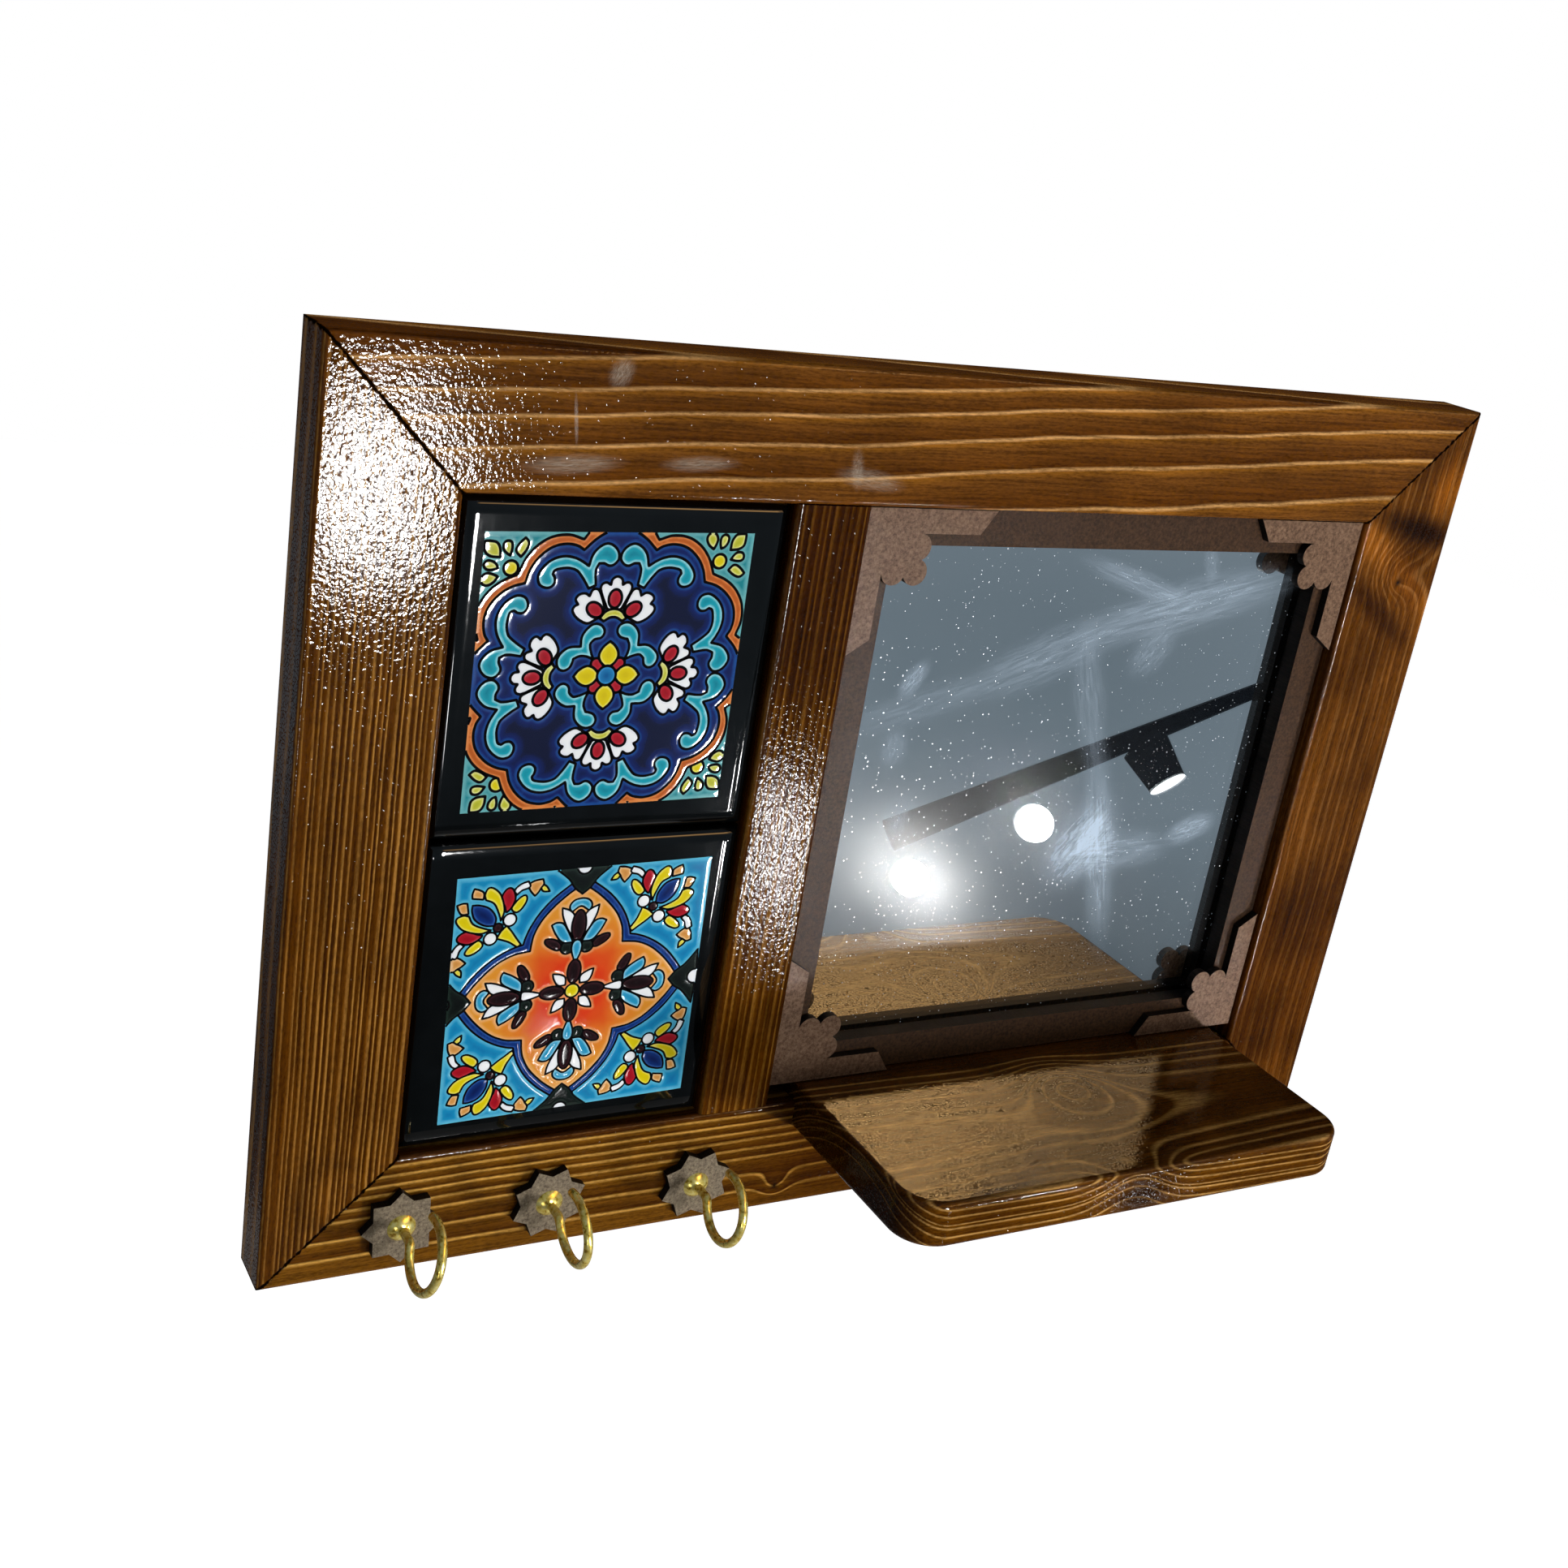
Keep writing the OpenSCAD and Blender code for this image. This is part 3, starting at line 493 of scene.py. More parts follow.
# Outlines run through points given as across,up in mm from the middle of the ornament; a !
# marks a corner. A motif is its glaze, its shape, its copies, its twin, and its outline or its
# dot (middle, half width, half height and turn). Those named first lie over the later ones.
# Shape: a dot, the whole outline, one halved by the upright axis, or an eighth of a round one.
# Copies: one at each of so many quarters of the ornament, or at the two sides where it is -2.
# Twin: one mirrored over the axis, one over the diagonal that many mm off, or none. A motif set
# to square has no twin and keeps to the square's corners, not to the ornament's middle.
UPPER = dict(middle=(-0.6, -0.9), centre=(-114.1, 50.1), turn=0.8, line=0.92, field="teal",
             motifs=(
    ("blue", "dot", 1, "", "0,0 2.9 2.9 0"),
    ("yellow", "halved", 4, "", "0,2.2! 2.2,4.0 3.0,6.2 1.9,8.6 0,10.2!"),
    ("red", "dot", 4, "", "3.3,3.3 2.1 1.8 45"),
    ("turquoise", "whole", 4, "", "1.8,13.4 2.6,15.1 4.9,15.7 7.1,14.6 8.6,12.4 8.8,8.9! 11.6,8.9"
     " 13.9,7.6 15.4,5.4 14.8,3.1 13.1,2.1 11.4,2.9 10.9,4.9! 9.9,5.9 9.1,6.1 7.1,5.6 4.8,4.6!"
     " 5.8,6.7 6.0,8.9 5.2,10.8! 4.1,11.0 2.6,11.7"),
    ("lime", "halved", 4, "", "0,17.3 1.2,17.1 2.8,16.1! 4.1,17.0! 2.4,19.0 0,19.7"),
    ("red", "dot", 4, "", "0,22.7 2.0 2.7 0"),
    ("red", "dot", 4, "axis", "5.9,19.5 2.7 2.0 35"),
    ("white", "halved", 4, "", "0,18.6 2.3,19.9! 4.7,25.2 4.5,26.8 3.2,27.4 1.8,26.7! 1.5,28.3"
     " 0,29.1"),
    ("white", "whole", 4, "axis", "2.9,20.1! 4.7,24.4 5.7,25.5 7.1,25.3 7.9,23.5! 9.3,24.3"
     " 11.1,23.9 12.0,22.6 11.1,21.1! 12.1,20.6 12.6,19.4 11.6,17.7 9.6,16.2 7.6,15.6 5.6,16.5!"
     " 4.0,17.6"),
    ("turquoise", "whole", 4, "axis", "6.4,26.6! 6.9,30.9 6.1,32.9! 4.6,32.9 2.9,32.2 1.4,32.7"
     " 0.3,34.4 1.1,36.9 3.6,38.5 5.8,38.0 8.1,35.7 9.1,32.1! 11.1,33.4 13.6,34.5 16.6,34.9"
     " 19.6,34.2 22.1,32.4 23.8,29.6 23.4,27.2 21.8,26.1 20.1,26.1 18.9,27.2 18.9,28.7"
     " 19.6,29.9! 19.1,30.9 17.6,31.4 15.1,31.6 12.6,30.9 11.1,29.4 9.6,27.4 8.5,25.7!"),
    ("navy", "eighth", 1, "", "0,44! 3.8,42.2 7.6,39.9 11.0,36.7! 13.1,37.9 16.6,38.4 20.6,37.4"
     " 24.1,34.6 26.3,31.2 27.4,27.4!"),
    ("orange", "eighth", 1, "", "0,46! 9.1,42.4 11.4,39.7! 15.6,40.9 20.6,40.4 24.8,38.0"
     " 27.8,34.4 29.8,29.8!"),
    ("yellow", "dot", 4, "square", "30.7,32.6 2.1 2.1 0"),
    ("lime", "whole", 4, "square", "28.3,36.1! 26.6,37.4 25.8,39.2 26.5,40.6 28.2,40.7 29.2,39.4"
     " 29.0,37.7"),
    ("lime", "whole", 4, "square", "30.6,36.3! 30.2,38.0 30.4,39.7 31.6,40.4 32.7,39.6 32.6,38.1"
     " 31.7,36.8"),
    ("lime", "whole", 4, "square", "33.7,35.9! 34.0,38.7 35.3,40.4 38.2,40.7! 38.2,39.0 37.8,37.2"
     " 36.3,36.2"),
    ("lime", "whole", 4, "square", "34.1,33.1! 35.7,35.0 37.5,35.2 38.3,34.2 37.9,33.0 36.2,32.7"),
    ("lime", "whole", 4, "square", "33.8,30.0! 35.5,31.5 37.3,30.9 39.2,29.1! 37.7,28.0 35.7,28.6"),
))
LOWER = dict(middle=(-1.2, -0.1), centre=(-111.3, -51.6), turn=1.2, line=0.72, field="sky",
             motifs=(
    ("yellow", "dot", 1, "", "0,0 2.3 2.3 0"),
    ("white", "whole", 4, "", "2.2,2.4! 2.3,4.8 4.6,6.4 6.4,6.9! 5.9,4.4 4.8,2.7"),
    ("maroon", "dot", 4, "", "0,6.6 2.2 4.0 0"),
    ("pale_blue", "halved", 2, "", "0,10.2 0.9,11.5 1.7,14.5 1.2,16.6 0,17.2"),
    ("white", "halved", -2, "", "0,10.4 0.7,11.5 1.6,15.4 1.2,16.4 0,16.6"),
    ("maroon", "dot", 4, "", "0,22.0 2.3 5.2 0"),
    ("white", "whole", 4, "axis", "1.3,17.8! 1.5,21.6 1.6,25.0 3.0,27.0 6.0,28.4! 5.6,25.8"
     " 4.6,23.2 3.1,20.3"),
    ("pale_blue", "whole", 4, "axis", "1.4,16.6! 3.4,20.6 5.2,23.1 7.2,23.6 8.9,22.9! 7.2,19.6"
     " 4.7,16.8"),
    ("pale_blue", "halved", 4, "", "0,28.4 0.8,28.2! 2.9,26.6! 3.6,28.6 2.4,30.4 0,31.0"),
    ("maroon", "whole", 4, "axis", "5.2,16.1 7.2,17.9 10.2,18.4 10.5,17.1 8.2,15.1 5.7,14.4"),
    ("bottle", "dot", 4, "axis", "3.2,14.9 2.1 2.1 0"),
    ("white", "dot", 4, "", "0,41.4 2.4 2.4 0"),
    ("bottle", "halved", 4, "", "0,32.4! 2.6,34.6 4.4,37.2 6.2,38.9 9.5,41.5! 0,42.0!"),
    ("flame", "eighth", 1, "", "0,35.8! 4.9,32.4 8.9,28.8 12.2,24.8 14.2,20.6 14.8,17.4"
     " 15.0,15.0!"),
    ("ink", "eighth", 1, "", "0,38.4! 5.2,34.9 9.4,31.5 13.0,27.4 15.5,23.2 16.9,19.6"
     " 17.4,17.4!"),
    ("maroon", "dot", 4, "", "24.0,25.9 1.4 1.4 0"),
    ("white", "dot", 4, 1.8, "20.6,28.0 2.05 2.05 0"),
    ("ink", "whole", 4, "", "24.7,27.1! 25.1,30.2 27.3,33.3 30.1,34.4 32.0,34.4! 31.8,32.0"
     " 30.4,28.9 27.3,26.8"),
    ("yellow", "whole", 4, 1.8, "23.4,27.9! 22.6,31.3 23.9,36.0 25.7,38.2 27.9,39.0 29.0,37.0"
     " 28.6,35.2! 26.0,33.8 24.3,30.6"),
    ("red", "whole", 4, 1.8, "21.7,30.6 19.5,34.3 20.2,37.5 21.5,38.4 22.9,37.5 23.7,35.4"
     " 22.4,32.2"),
    ("yellow", "whole", 4, 1.8, "18.4,30.3 16.0,33.3 16.1,35.4 17.6,35.2 19.7,33.0 20.3,31.3"),
    ("peach", "whole", 4, 1.8, "29.4,35.4! 29.4,37.5 30.7,38.5 32.4,39.1! 32.9,37.4 32.8,36.0!"),
    ("yellow", "whole", 4, "", "16.9,19.3! 18.9,22.2 19.9,24.6 20.4,26.0! 22.6,24.9 24.4,23.2!"
     " 22.2,21.4 19.6,19.6 17.7,18.2!"),
    ("white", "whole", 4, 1.8, "15.2,38.2 17.6,37.2 19.1,35.9! 19.9,37.4 18.2,39.2 15.8,40.0!"),
    ("peach", "whole", 4, 1.8, "11.3,40.3! 13.7,40.0 15.9,39.0! 15.0,36.9 13.4,35.0! 12.3,36.3"
     " 11.7,37.5! 10.9,38.7"),
    ("yellow", "whole", 4, 1.8, "8.8,36.1! 10.9,36.3 11.8,37.5! 11.3,38.7! 9.9,37.8"),
))


def smooth(points, steps=6):
    """A closed curve through points of u, v and whether the point is a corner."""
    where = np.array([p[:2] for p in points], float)
    ahead, behind = np.roll(where, -1, 0), np.roll(where, 1, 0)
    way = ahead - behind
    way /= np.linalg.norm(way, axis=1)[:, None] + 1e-9
    curve = []
    for i, start in enumerate(where):
        j = (i + 1) % len(where)
        span = where[j] - start
        reach = np.linalg.norm(span)
        leave = span if points[i][2] else way[i] * reach
        arrive = span if points[j][2] else way[j] * reach
        for t in np.arange(steps) / steps:
            curve.append(start * (1 + 2 * t) * (1 - t) ** 2 + leave * t * (1 - t) ** 2
                         + where[j] * t * t * (3 - 2 * t) + arrive * t * t * (t - 1))
    return np.array(curve)


def spun(flat, angle):
    """Points turned about the middle by an angle in radians."""
    c, s = math.cos(angle), math.sin(angle)
    return flat @ np.array([[c, s], [-s, c]])


def over_axis(points):
    """Outline points mirrored over the upright axis."""
    return [(-u, v, c) for u, v, c in reversed(points)]


def over_diagonal(points):
    """Outline points mirrored over the diagonal."""
    return [(v, u, c) for u, v, c in reversed(points)]


def motif_curve(shape, text):
    """One motif's closed curve, from the points or the dot in its text."""
    if shape == "dot":
        middle, wide, high, turn = text.split()
        u, v = (float(x) for x in middle.split(","))
        angle = np.arange(28) / 28 * 2 * np.pi
        ring = np.stack([np.cos(angle) * float(wide), np.sin(angle) * float(high)], 1)
        return spun(ring, math.radians(float(turn))) + (u, v)
    points = []
    for word in text.split():
        u, v = word.rstrip("!").split(",")
        points.append((float(u), float(v), word.endswith("!")))
    if shape == "eighth":
        points += over_diagonal(points)[1:]
        quarter = points[:-1]
        for _ in range(3):
            points = [(v, -u, c) for u, v, c in points]
            quarter += points[:-1]
        points = quarter
    if shape == "halved":
        points += [p for p in over_axis(points) if p[0] != 0]
    return smooth(points)


def motif_loops(tile):
    """Every outline of a tile's ornament as its glaze and its points, the topmost first."""
    loops = []
    for glaze, shape, copies, twin, text in tile["motifs"]:
        curve = motif_curve(shape, text)
        twins = [curve]
        if twin == "axis":
            twins.append(curve[::-1] * (-1, 1))
        elif isinstance(twin, float):
            twins.append(curve[::-1, ::-1] + (-twin, twin))
        quarters = range(0, 4, 4 // copies) if copies > 0 else (1, 3)
        for quarter in quarters:
            for one in twins:
                moved = spun(one, quarter * math.pi / 2)
                moved = moved + (0 if twin == "square" else tile["middle"])
                moved = np.clip(moved, -PATTERN_HALF, PATTERN_HALF)
                step = np.linalg.norm(moved - np.roll(moved, 1, 0), axis=1)
                moved = moved[step > 0.02]
                if len(moved) > 2:
                    loops.append((glaze, moved))
    edge = PATTERN_HALF
    loops.append((tile["field"], np.array([(-edge, -edge), (edge, -edge), (edge, edge),
                                           (-edge, edge)])))
    return loops


def within(points, loop):
    """Which points lie inside a closed outline."""
    low, high = loop.min(0), loop.max(0)
    near = np.all((points >= low) & (points <= high), axis=1)
    x, y = points[near].T
    odd = np.zeros(len(x), bool)
    for (x0, y0), (x1, y1) in zip(loop, np.roll(loop, -1, 0)):
        if y0 != y1:
            odd ^= ((y0 > y) != (y1 > y)) & (x < (x1 - x0) * (y - y0) / (y1 - y0) + x0)
    found = np.zeros(len(points), bool)
    found[near] = odd
    return found


def densified(loop, step=0.25):
    """Points along a closed outline, close together."""
    out = []
    for a, b in zip(loop, np.roll(loop, -1, 0)):
        count = max(1, int(np.ceil(np.linalg.norm(b - a) / step)))
        out.extend(a + (b - a) * k / count for k in range(count))
    return np.array(out)


def to_frame(tile, flat, height):
    """Points of the ornament laid on the part, standing height mm off the tile's face."""
    turned = spun(flat, math.radians(tile["turn"])) + tile["centre"]
    return np.stack([turned[:, 0], TILE_FACE - height, turned[:, 1]], 1) * MM


def new_piece(name, verts, faces, materials):
    """A smooth mesh piece that rides with the frame."""
    mesh = bpy.data.meshes.new(name)
    mesh.from_pydata([tuple(v) for v in verts], [], [tuple(int(i) for i in f) for f in faces])
    mesh.polygons.foreach_set("use_smooth", [True] * len(mesh.polygons))
    piece = bpy.data.objects.new(name, mesh)
    bpy.context.scene.collection.objects.link(piece)
    for material in materials:
        mesh.materials.append(material)
    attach(piece, "root")
    return piece


def covered_by(points, uppers):
    """Which points lie under one of the outlines that are laid on top."""
    covered = np.zeros(len(points), bool)
    for _, upper in uppers:
        covered |= within(points, upper)
    return covered


def line_search(outlines):
    """A search tree over the points of all the lines that show."""
    points = [p for dense, shown in outlines for p in dense[shown]]
    lines = kdtree.KDTree(len(points))
    for i, (u, v) in enumerate(points):
        lines.insert((u, v, 0), i)
    lines.balance()
    return lines


def line_gap(lines, points):
    """How far each point is from the nearest line."""
    return np.array([lines.find((u, v, 0))[2] for u, v in points])


def inner_points(loop, uppers, lines):
    """Evenly spread points inside an outline, left out by the lines and deep under others."""
    low, high = loop.min(0), loop.max(0)
    rows = np.arange(low[1], high[1], MESH_STEP * ROW_STEP)
    grid = np.array([(x + (k % 2) * MESH_STEP / 2, y) for k, y in enumerate(rows)
                     for x in np.arange(low[0], high[0], MESH_STEP)])
    if len(grid):
        grid = grid[within(grid, loop)]
    if len(grid):
        gap = line_gap(lines, grid)
        grid = grid[(gap > 0.3) & (~covered_by(grid, uppers) | (gap < 1.2))]
    return grid


def pour_glaze(name, tile, loops, lines):
    """The glaze pools of one tile, each domed from its line to its middle."""
    verts, faces, kinds, rim, reach = [], [], [], [], []
    used = sorted({g for g, _ in loops})
    for i, (glaze, loop) in enumerate(loops):
        dense = densified(loop, 0.45)
        grid = inner_points(loop, loops[:i], lines)
        flat = np.concatenate([dense, grid]) if len(grid) else dense
        made = delaunay_2d_cdt([Vector(p) for p in flat], [], [list(range(len(dense)))], 1, 1e-5)
        flat = np.array([tuple(v) for v in made[0]])
        pool = np.maximum(line_gap(lines, flat) - tile["line"] / 2, 0)
        rise = np.sqrt(1 - (1 - np.minimum(pool / POOL_EDGE, 1)) ** 2)
        height = np.where(covered_by(flat, loops[:i]), HIDDEN_H, POOL_BASE + POOL_RISE * rise)
        start = len(verts)
        verts.extend(to_frame(tile, flat, height))
        faces.extend([start + k for k in f] for f in made[2])
        kinds.extend([used.index(glaze)] * len(made[2]))
        rim.extend(pool)
        reach.extend(np.linalg.norm(flat - tile["middle"], axis=1))
    piece = new_piece(name + "_glaze", verts, faces, [glazes[g] for g in used])
    piece.data.polygons.foreach_set("material_index", kinds)
    for label, values in (("rim", rim), ("reach", reach)):
        marks = piece.data.attributes.new(label, "FLOAT", "POINT")
        marks.data.foreach_set("value", np.array(values, np.float32))


def draw_lines(name, tile, outlines):
    """The wax lines of one tile: low ribbons with sloping sides, where no glaze hides them."""
    verts, faces = [], []
    for dense, shown in outlines:
        drawn = shown & (np.abs(dense).max(1) <= PATTERN_HALF - 0.02)
        way = np.roll(dense, -1, 0) - np.roll(dense, 1, 0)
        way /= np.linalg.norm(way, axis=1)[:, None] + 1e-9
        side = np.stack([-way[:, 1], way[:, 0]], 1) * tile["line"] / 2
        start, n = len(verts), len(dense)
        for off, height in ((1.0, LINE_FOOT), (0.8, LINE_H), (-0.8, LINE_H), (-1.0, LINE_FOOT)):
            strip = np.clip(dense + side * off, -PATTERN_HALF, PATTERN_HALF)
            verts.extend(to_frame(tile, strip, np.full(n, height)))
        for k in range(n):
            after = (k + 1) % n
            if drawn[k] and drawn[after]:
                for band in range(3):
                    a = start + band * n
                    faces.append((a + k, a + n + k, a + n + after, a + after))
    new_piece(name + "_lines", verts, faces, [line_black])


def flood_tile(name, tile):
    """Makes the glaze pools and the wax lines of one tile."""
    loops = motif_loops(tile)
    outlines = []
    for i, (_, loop) in enumerate(loops):
        dense = densified(loop)
        outlines.append((dense, ~covered_by(dense, loops[:i])))
    pour_glaze(name, tile, loops, line_search(outlines))
    draw_lines(name, tile, outlines)


flood_tile("upper_tile", UPPER)
flood_tile("lower_tile", LOWER)

# ---- Mirror ----
# A 3 mm float glass pane, silvered on its back and laid into the frame's rabbet behind the
# rings. Its face carries the smears of a dry cloth and some dust.

GLASS_Y = box_mm("mirror_glass")[0][1]
WIPES = (
    ((0.6, GLASS_Y, 34.4), (36.0, 8.0), 16.0, 0.22),
    ((48.7, GLASS_Y, 50.7), (40.0, 11.0), 21.0, 0.35),
    ((103.1, GLASS_Y, 68.0), (50.0, 11.0), 13.0, 0.48),
    ((79.1, GLASS_Y, 75.6), (30.0, 5.0), -17.0, 0.44),
    ((107.9, GLASS_Y, 82.6), (9.0, 4.0), -68.0, 0.26),
    ((68.7, GLASS_Y, 34.6), (32.0, 8.0), -71.0, 0.26),
    ((87.4, GLASS_Y, -20.4), (48.0, 8.5), -74.0, 0.48),
    ((78.6, GLASS_Y, -18.7), (20.0, 16.0), 52.0, 0.79),
    ((82.0, GLASS_Y, -15.5), (10.0, 5.0), 62.0, 1.00),
    ((94.8, GLASS_Y, -22.3), (30.0, 10.0), 1.0, 0.44),
    ((127.9, GLASS_Y, -15.7), (13.0, 6.5), 16.0, 0.62),
    ((91.1, GLASS_Y, 52.1), (13.0, 9.0), 47.0, 0.31),
    ((-3.9, GLASS_Y, 43.3), (8.5, 4.5), 54.0, 0.62),
    ((-6.6, GLASS_Y, 20.0), (8.0, 6.5), 90.0, 0.35),
    ((0.3, GLASS_Y, -4.3), (9.0, 5.0), 89.0, 0.35),
    ((-23.4, GLASS_Y, -26.6), (15.0, 1.8), 92.0, 0.88),
)


def float_glass():
    """Clear glass with a faint bloom of dust. Smears and specks lie on its face."""
    finish, tree, shader = new_finish("float_glass")
    mm = in_mm(tree)
    feed(tree, shader, {"Base Color": tone("#fafdfd"), "Roughness": 0.0, "IOR": 1.52,
                        "Transmission Weight": 1.0})
    front = add(tree, "NewGeometry").outputs["Normal"]
    facing = add(tree, "SeparateXYZ", {0: front}).outputs["Y"]
    on_face = add(tree, "Math", {0: facing, 1: -0.9}, operation="LESS_THAN")

    # The bloom: a glow close round a lamp's reflection
    drift = add(tree, "TexNoise", {"Vector": mm, "Scale": 0.03, "Detail": 4.0})
    bloom = add(tree, "MapRange", {"Value": drift, "From Min": 0.3, "From Max": 0.7,
                                   "To Min": 0.010, "To Max": 0.016})
    bloom = add(tree, "Math", {0: bloom, 1: on_face}, operation="MULTIPLY")
    glow = add(tree, "BsdfGlossy", {"Color": tone("#ffffff"), "Roughness": 0.16})
    bloomed = add(tree, "MixShader", {0: bloom, 1: shader, 2: glow})

    # Smears scatter the light, and the specks of dust, up to 0.3 mm wide, also glint
    dots = add(tree, "TexVoronoi", {"Vector": mm, "Scale": 0.85})
    grain = add(tree, "SeparateColor", {0: dots.outputs["Color"]})
    size = add(tree, "MapRange", {"Value": grain.outputs[0], "From Min": 0.5, "From Max": 1.0,
                                  "To Min": 0.0, "To Max": 0.22})
    near = add(tree, "Math", {0: size, 1: dots.outputs["Distance"]}, operation="SUBTRACT")
    dust = add(tree, "MapRange", {"Value": near, "From Min": 0.0, "From Max": 0.04,
                                  "To Min": 0.0, "To Max": 0.8})
    dust = add(tree, "Math", {0: dust, 1: on_face}, operation="MULTIPLY")
    veil = add(tree, "Math", {0: wiped(tree, mm, WIPES), 1: on_face}, operation="MULTIPLY")
    smear = add(tree, "BsdfDiffuse", {"Color": tone("#c6d8ea")})
    spark = add(tree, "BsdfGlossy", {"Color": tone("#ffffff"), "Roughness": 0.3})
    speck = add(tree, "MixShader", {0: 0.5, 1: smear, 2: spark})
    wiped_glass = add(tree, "MixShader", {0: veil, 1: bloomed, 2: smear})
    mixed = add(tree, "MixShader", {0: dust, 1: wiped_glass, 2: speck})
    tree.links.new(mixed.outputs[0], tree.nodes["Material Output"].inputs["Surface"])
    return finish


def silvering():
    """The silver coat behind the glass: a cool, slightly dark and hardly cloudy reflection."""
    finish, tree, shader = new_finish("mirror_silver")
    cloud = add(tree, "TexNoise", {"Vector": in_mm(tree), "Scale": 0.03, "Detail": 2.0})
    colour = add(tree, "ValToRGB", {0: cloud}, stops=(
        (0.3, tone("#f0f3f5")), (0.7, tone("#f4f6f7"))))
    feed(tree, shader, {"Base Color": colour, "Metallic": 1.0, "Roughness": 0.0})
    return finish


cover(nodes["mirror_glass"], float_glass())
glass_low, glass_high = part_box("mirror_glass")
inset = 0.2 * MM
depth = glass_high.y - 0.05 * MM
corners = [(x, depth, z) for x, z in (
    (glass_low.x + inset, glass_low.z + inset), (glass_high.x - inset, glass_low.z + inset),
    (glass_high.x - inset, glass_high.z - inset), (glass_low.x + inset, glass_high.z - inset))]
new_piece("mirror_silvering", corners, [(0, 1, 2, 3)], [silvering()])

# ---- Rings and corner ornaments ----
# Thin fibre board cut by laser: a brown, slightly fuzzy face, and edges that the beam has
# charred black. Two plain rings lie on the glass, and the four scalloped corners on them.


def laser_cut_board(name, dark, light, varnish):
    """Fibre board with charred edges: the face has flecks about 1 mm across and a thin coat of
    varnish, and the edge has burnt ribs half a millimetre apart."""
    finish, tree, shader = new_finish(name)
    mm = in_mm(tree)
    fleck = add(tree, "TexNoise", {"Vector": mm, "Scale": 0.9, "Detail": 5.0, "Roughness": 0.7})
    face = add(tree, "ValToRGB", {0: fleck}, stops=((0.32, tone(dark)), (0.68, tone(light))))
    through = add(tree, "VectorMath", {0: mm, 1: (2.2, 0.12, 2.2)}, operation="MULTIPLY")
    ribs = add(tree, "TexNoise", {"Vector": through, "Scale": 1.0})
    edge = add(tree, "ValToRGB", {0: ribs}, stops=(
        (0.35, tone("#050403")), (0.7, tone("#1c1512"))))
    facing = add(tree, "SeparateXYZ", {0: add(tree, "NewGeometry").outputs["Normal"]})
    facing = add(tree, "Math", {0: facing.outputs["Y"]}, operation="ABSOLUTE")
    flat = add(tree, "Math", {0: facing, 1: 0.9}, operation="GREATER_THAN")
    colour = add(tree, "MixRGB", {0: flat, 1: edge, 2: face})
    grit = add(tree, "TexNoise", {"Vector": mm, "Scale": 3.0, "Detail": 3.0})
    height = add(tree, "Math", {0: fleck, 1: 0.5, 2: grit}, operation="MULTIPLY_ADD")
    skin = add(tree, "Bump", {"Strength": 1.0, "Distance": 0.08 * MM, "Height": height})
    coat = add(tree, "Math", {0: flat, 1: varnish}, operation="MULTIPLY")
    feed(tree, shader, {"Base Color": colour, "Roughness": 0.6, "Specular IOR Level": 0.1,
                        "Normal": skin, "Coat Weight": coat, "Coat Roughness": 0.14,
                        "Coat IOR": 1.42, "Coat Normal": skin})
    return finish


ring_board = laser_cut_board("varnished_laser_cut_board", "#24160a", "#4e341e", 0.22)
corner_board = laser_cut_board("laser_cut_board", "#4c3424", "#8a6c54", 0.3)
for name in ("rear_ring", "front_ring"):
    cover(nodes[name], ring_board)
for corner in ("top_left", "top_right", "bottom_left", "bottom_right"):
    cover(nodes["ornament_" + corner], corner_board)

# ---- Back panel, screws and hanging plates ----
# A brown hardboard sheet lies in the rabbet behind the tiles and the mirror, held by small zinc
# plated screws. Two keyhole plates of the same steel are let into the backs of the stiles.


def zinc_plate():
    """Zinc plated steel: a grey shine with clouds some 2 mm across."""
    finish, tree, shader = new_finish("zinc_plated_steel")
    cloud = add(tree, "TexNoise", {"Vector": in_mm(tree), "Scale": 0.5, "Detail": 3.0})
    colour = add(tree, "ValToRGB", {0: cloud}, stops=(
        (0.35, tone("#9c9b96")), (0.65, tone("#c4c2ba"))))
    feed(tree, shader, {"Base Color": colour, "Metallic": 1.0, "Roughness": 0.34})
    return finish


cover(nodes["back_panel"], plain_wood("hardboard", "#6b4c32", "#8a6748"))
zinc_steel = zinc_plate()
for name in ("panel_screws", "shelf_screws", "hanging_plate_left", "hanging_plate_right",
             "hanging_screws"):
    cover(nodes[name], zinc_steel)

# ---- Shelf ----
# One pine board with rounded front corners. Its tongue runs back over the bottom rail, where
# two screws hold it. It has the frame's stain and varnish.

cover(nodes["shelf"], varnished_pine(
    "stained_varnished_pine_shelf", pith=(0.0, -59.0, -154.36), along=0, tilt=-0.0175, sway=0.5,
    rings=(55.0, 58.4, 60.9, 61.9, 64.4, 66.6, 68.3, 70.4), mitred=False, blotch=0.8, fine=0.7,
    line=0.8, deep="#482602", body="#5e3806", pale="#c89c58",
    figure_and_highlight=(((62.0, -93.0, -105.0), (15.0, 9.5), 0.0, (0.3, 0.26, 0.2)),),
    knots=(((58.5, -93.0, -94.5), (14.8, 11.7, 60.0), -6.5, 0.0),
           ((68.0, -42.0, -94.5), (17.0, 20.0, 60.0), -5.0, 0.0),
           ((68.0, -42.0, -94.5), (11.0, 10.0, 60.0), -5.0, 0.0),
           ((76.5, -40.5, -94.5), (2.4, 14.0, 60.0), 0.0, 0.9))))

# ---- Rosettes and cup hooks ----
# Three eight-pointed washers of the cut board, and three cup hooks of polished brass wire
# screwed through them into the bottom rail.


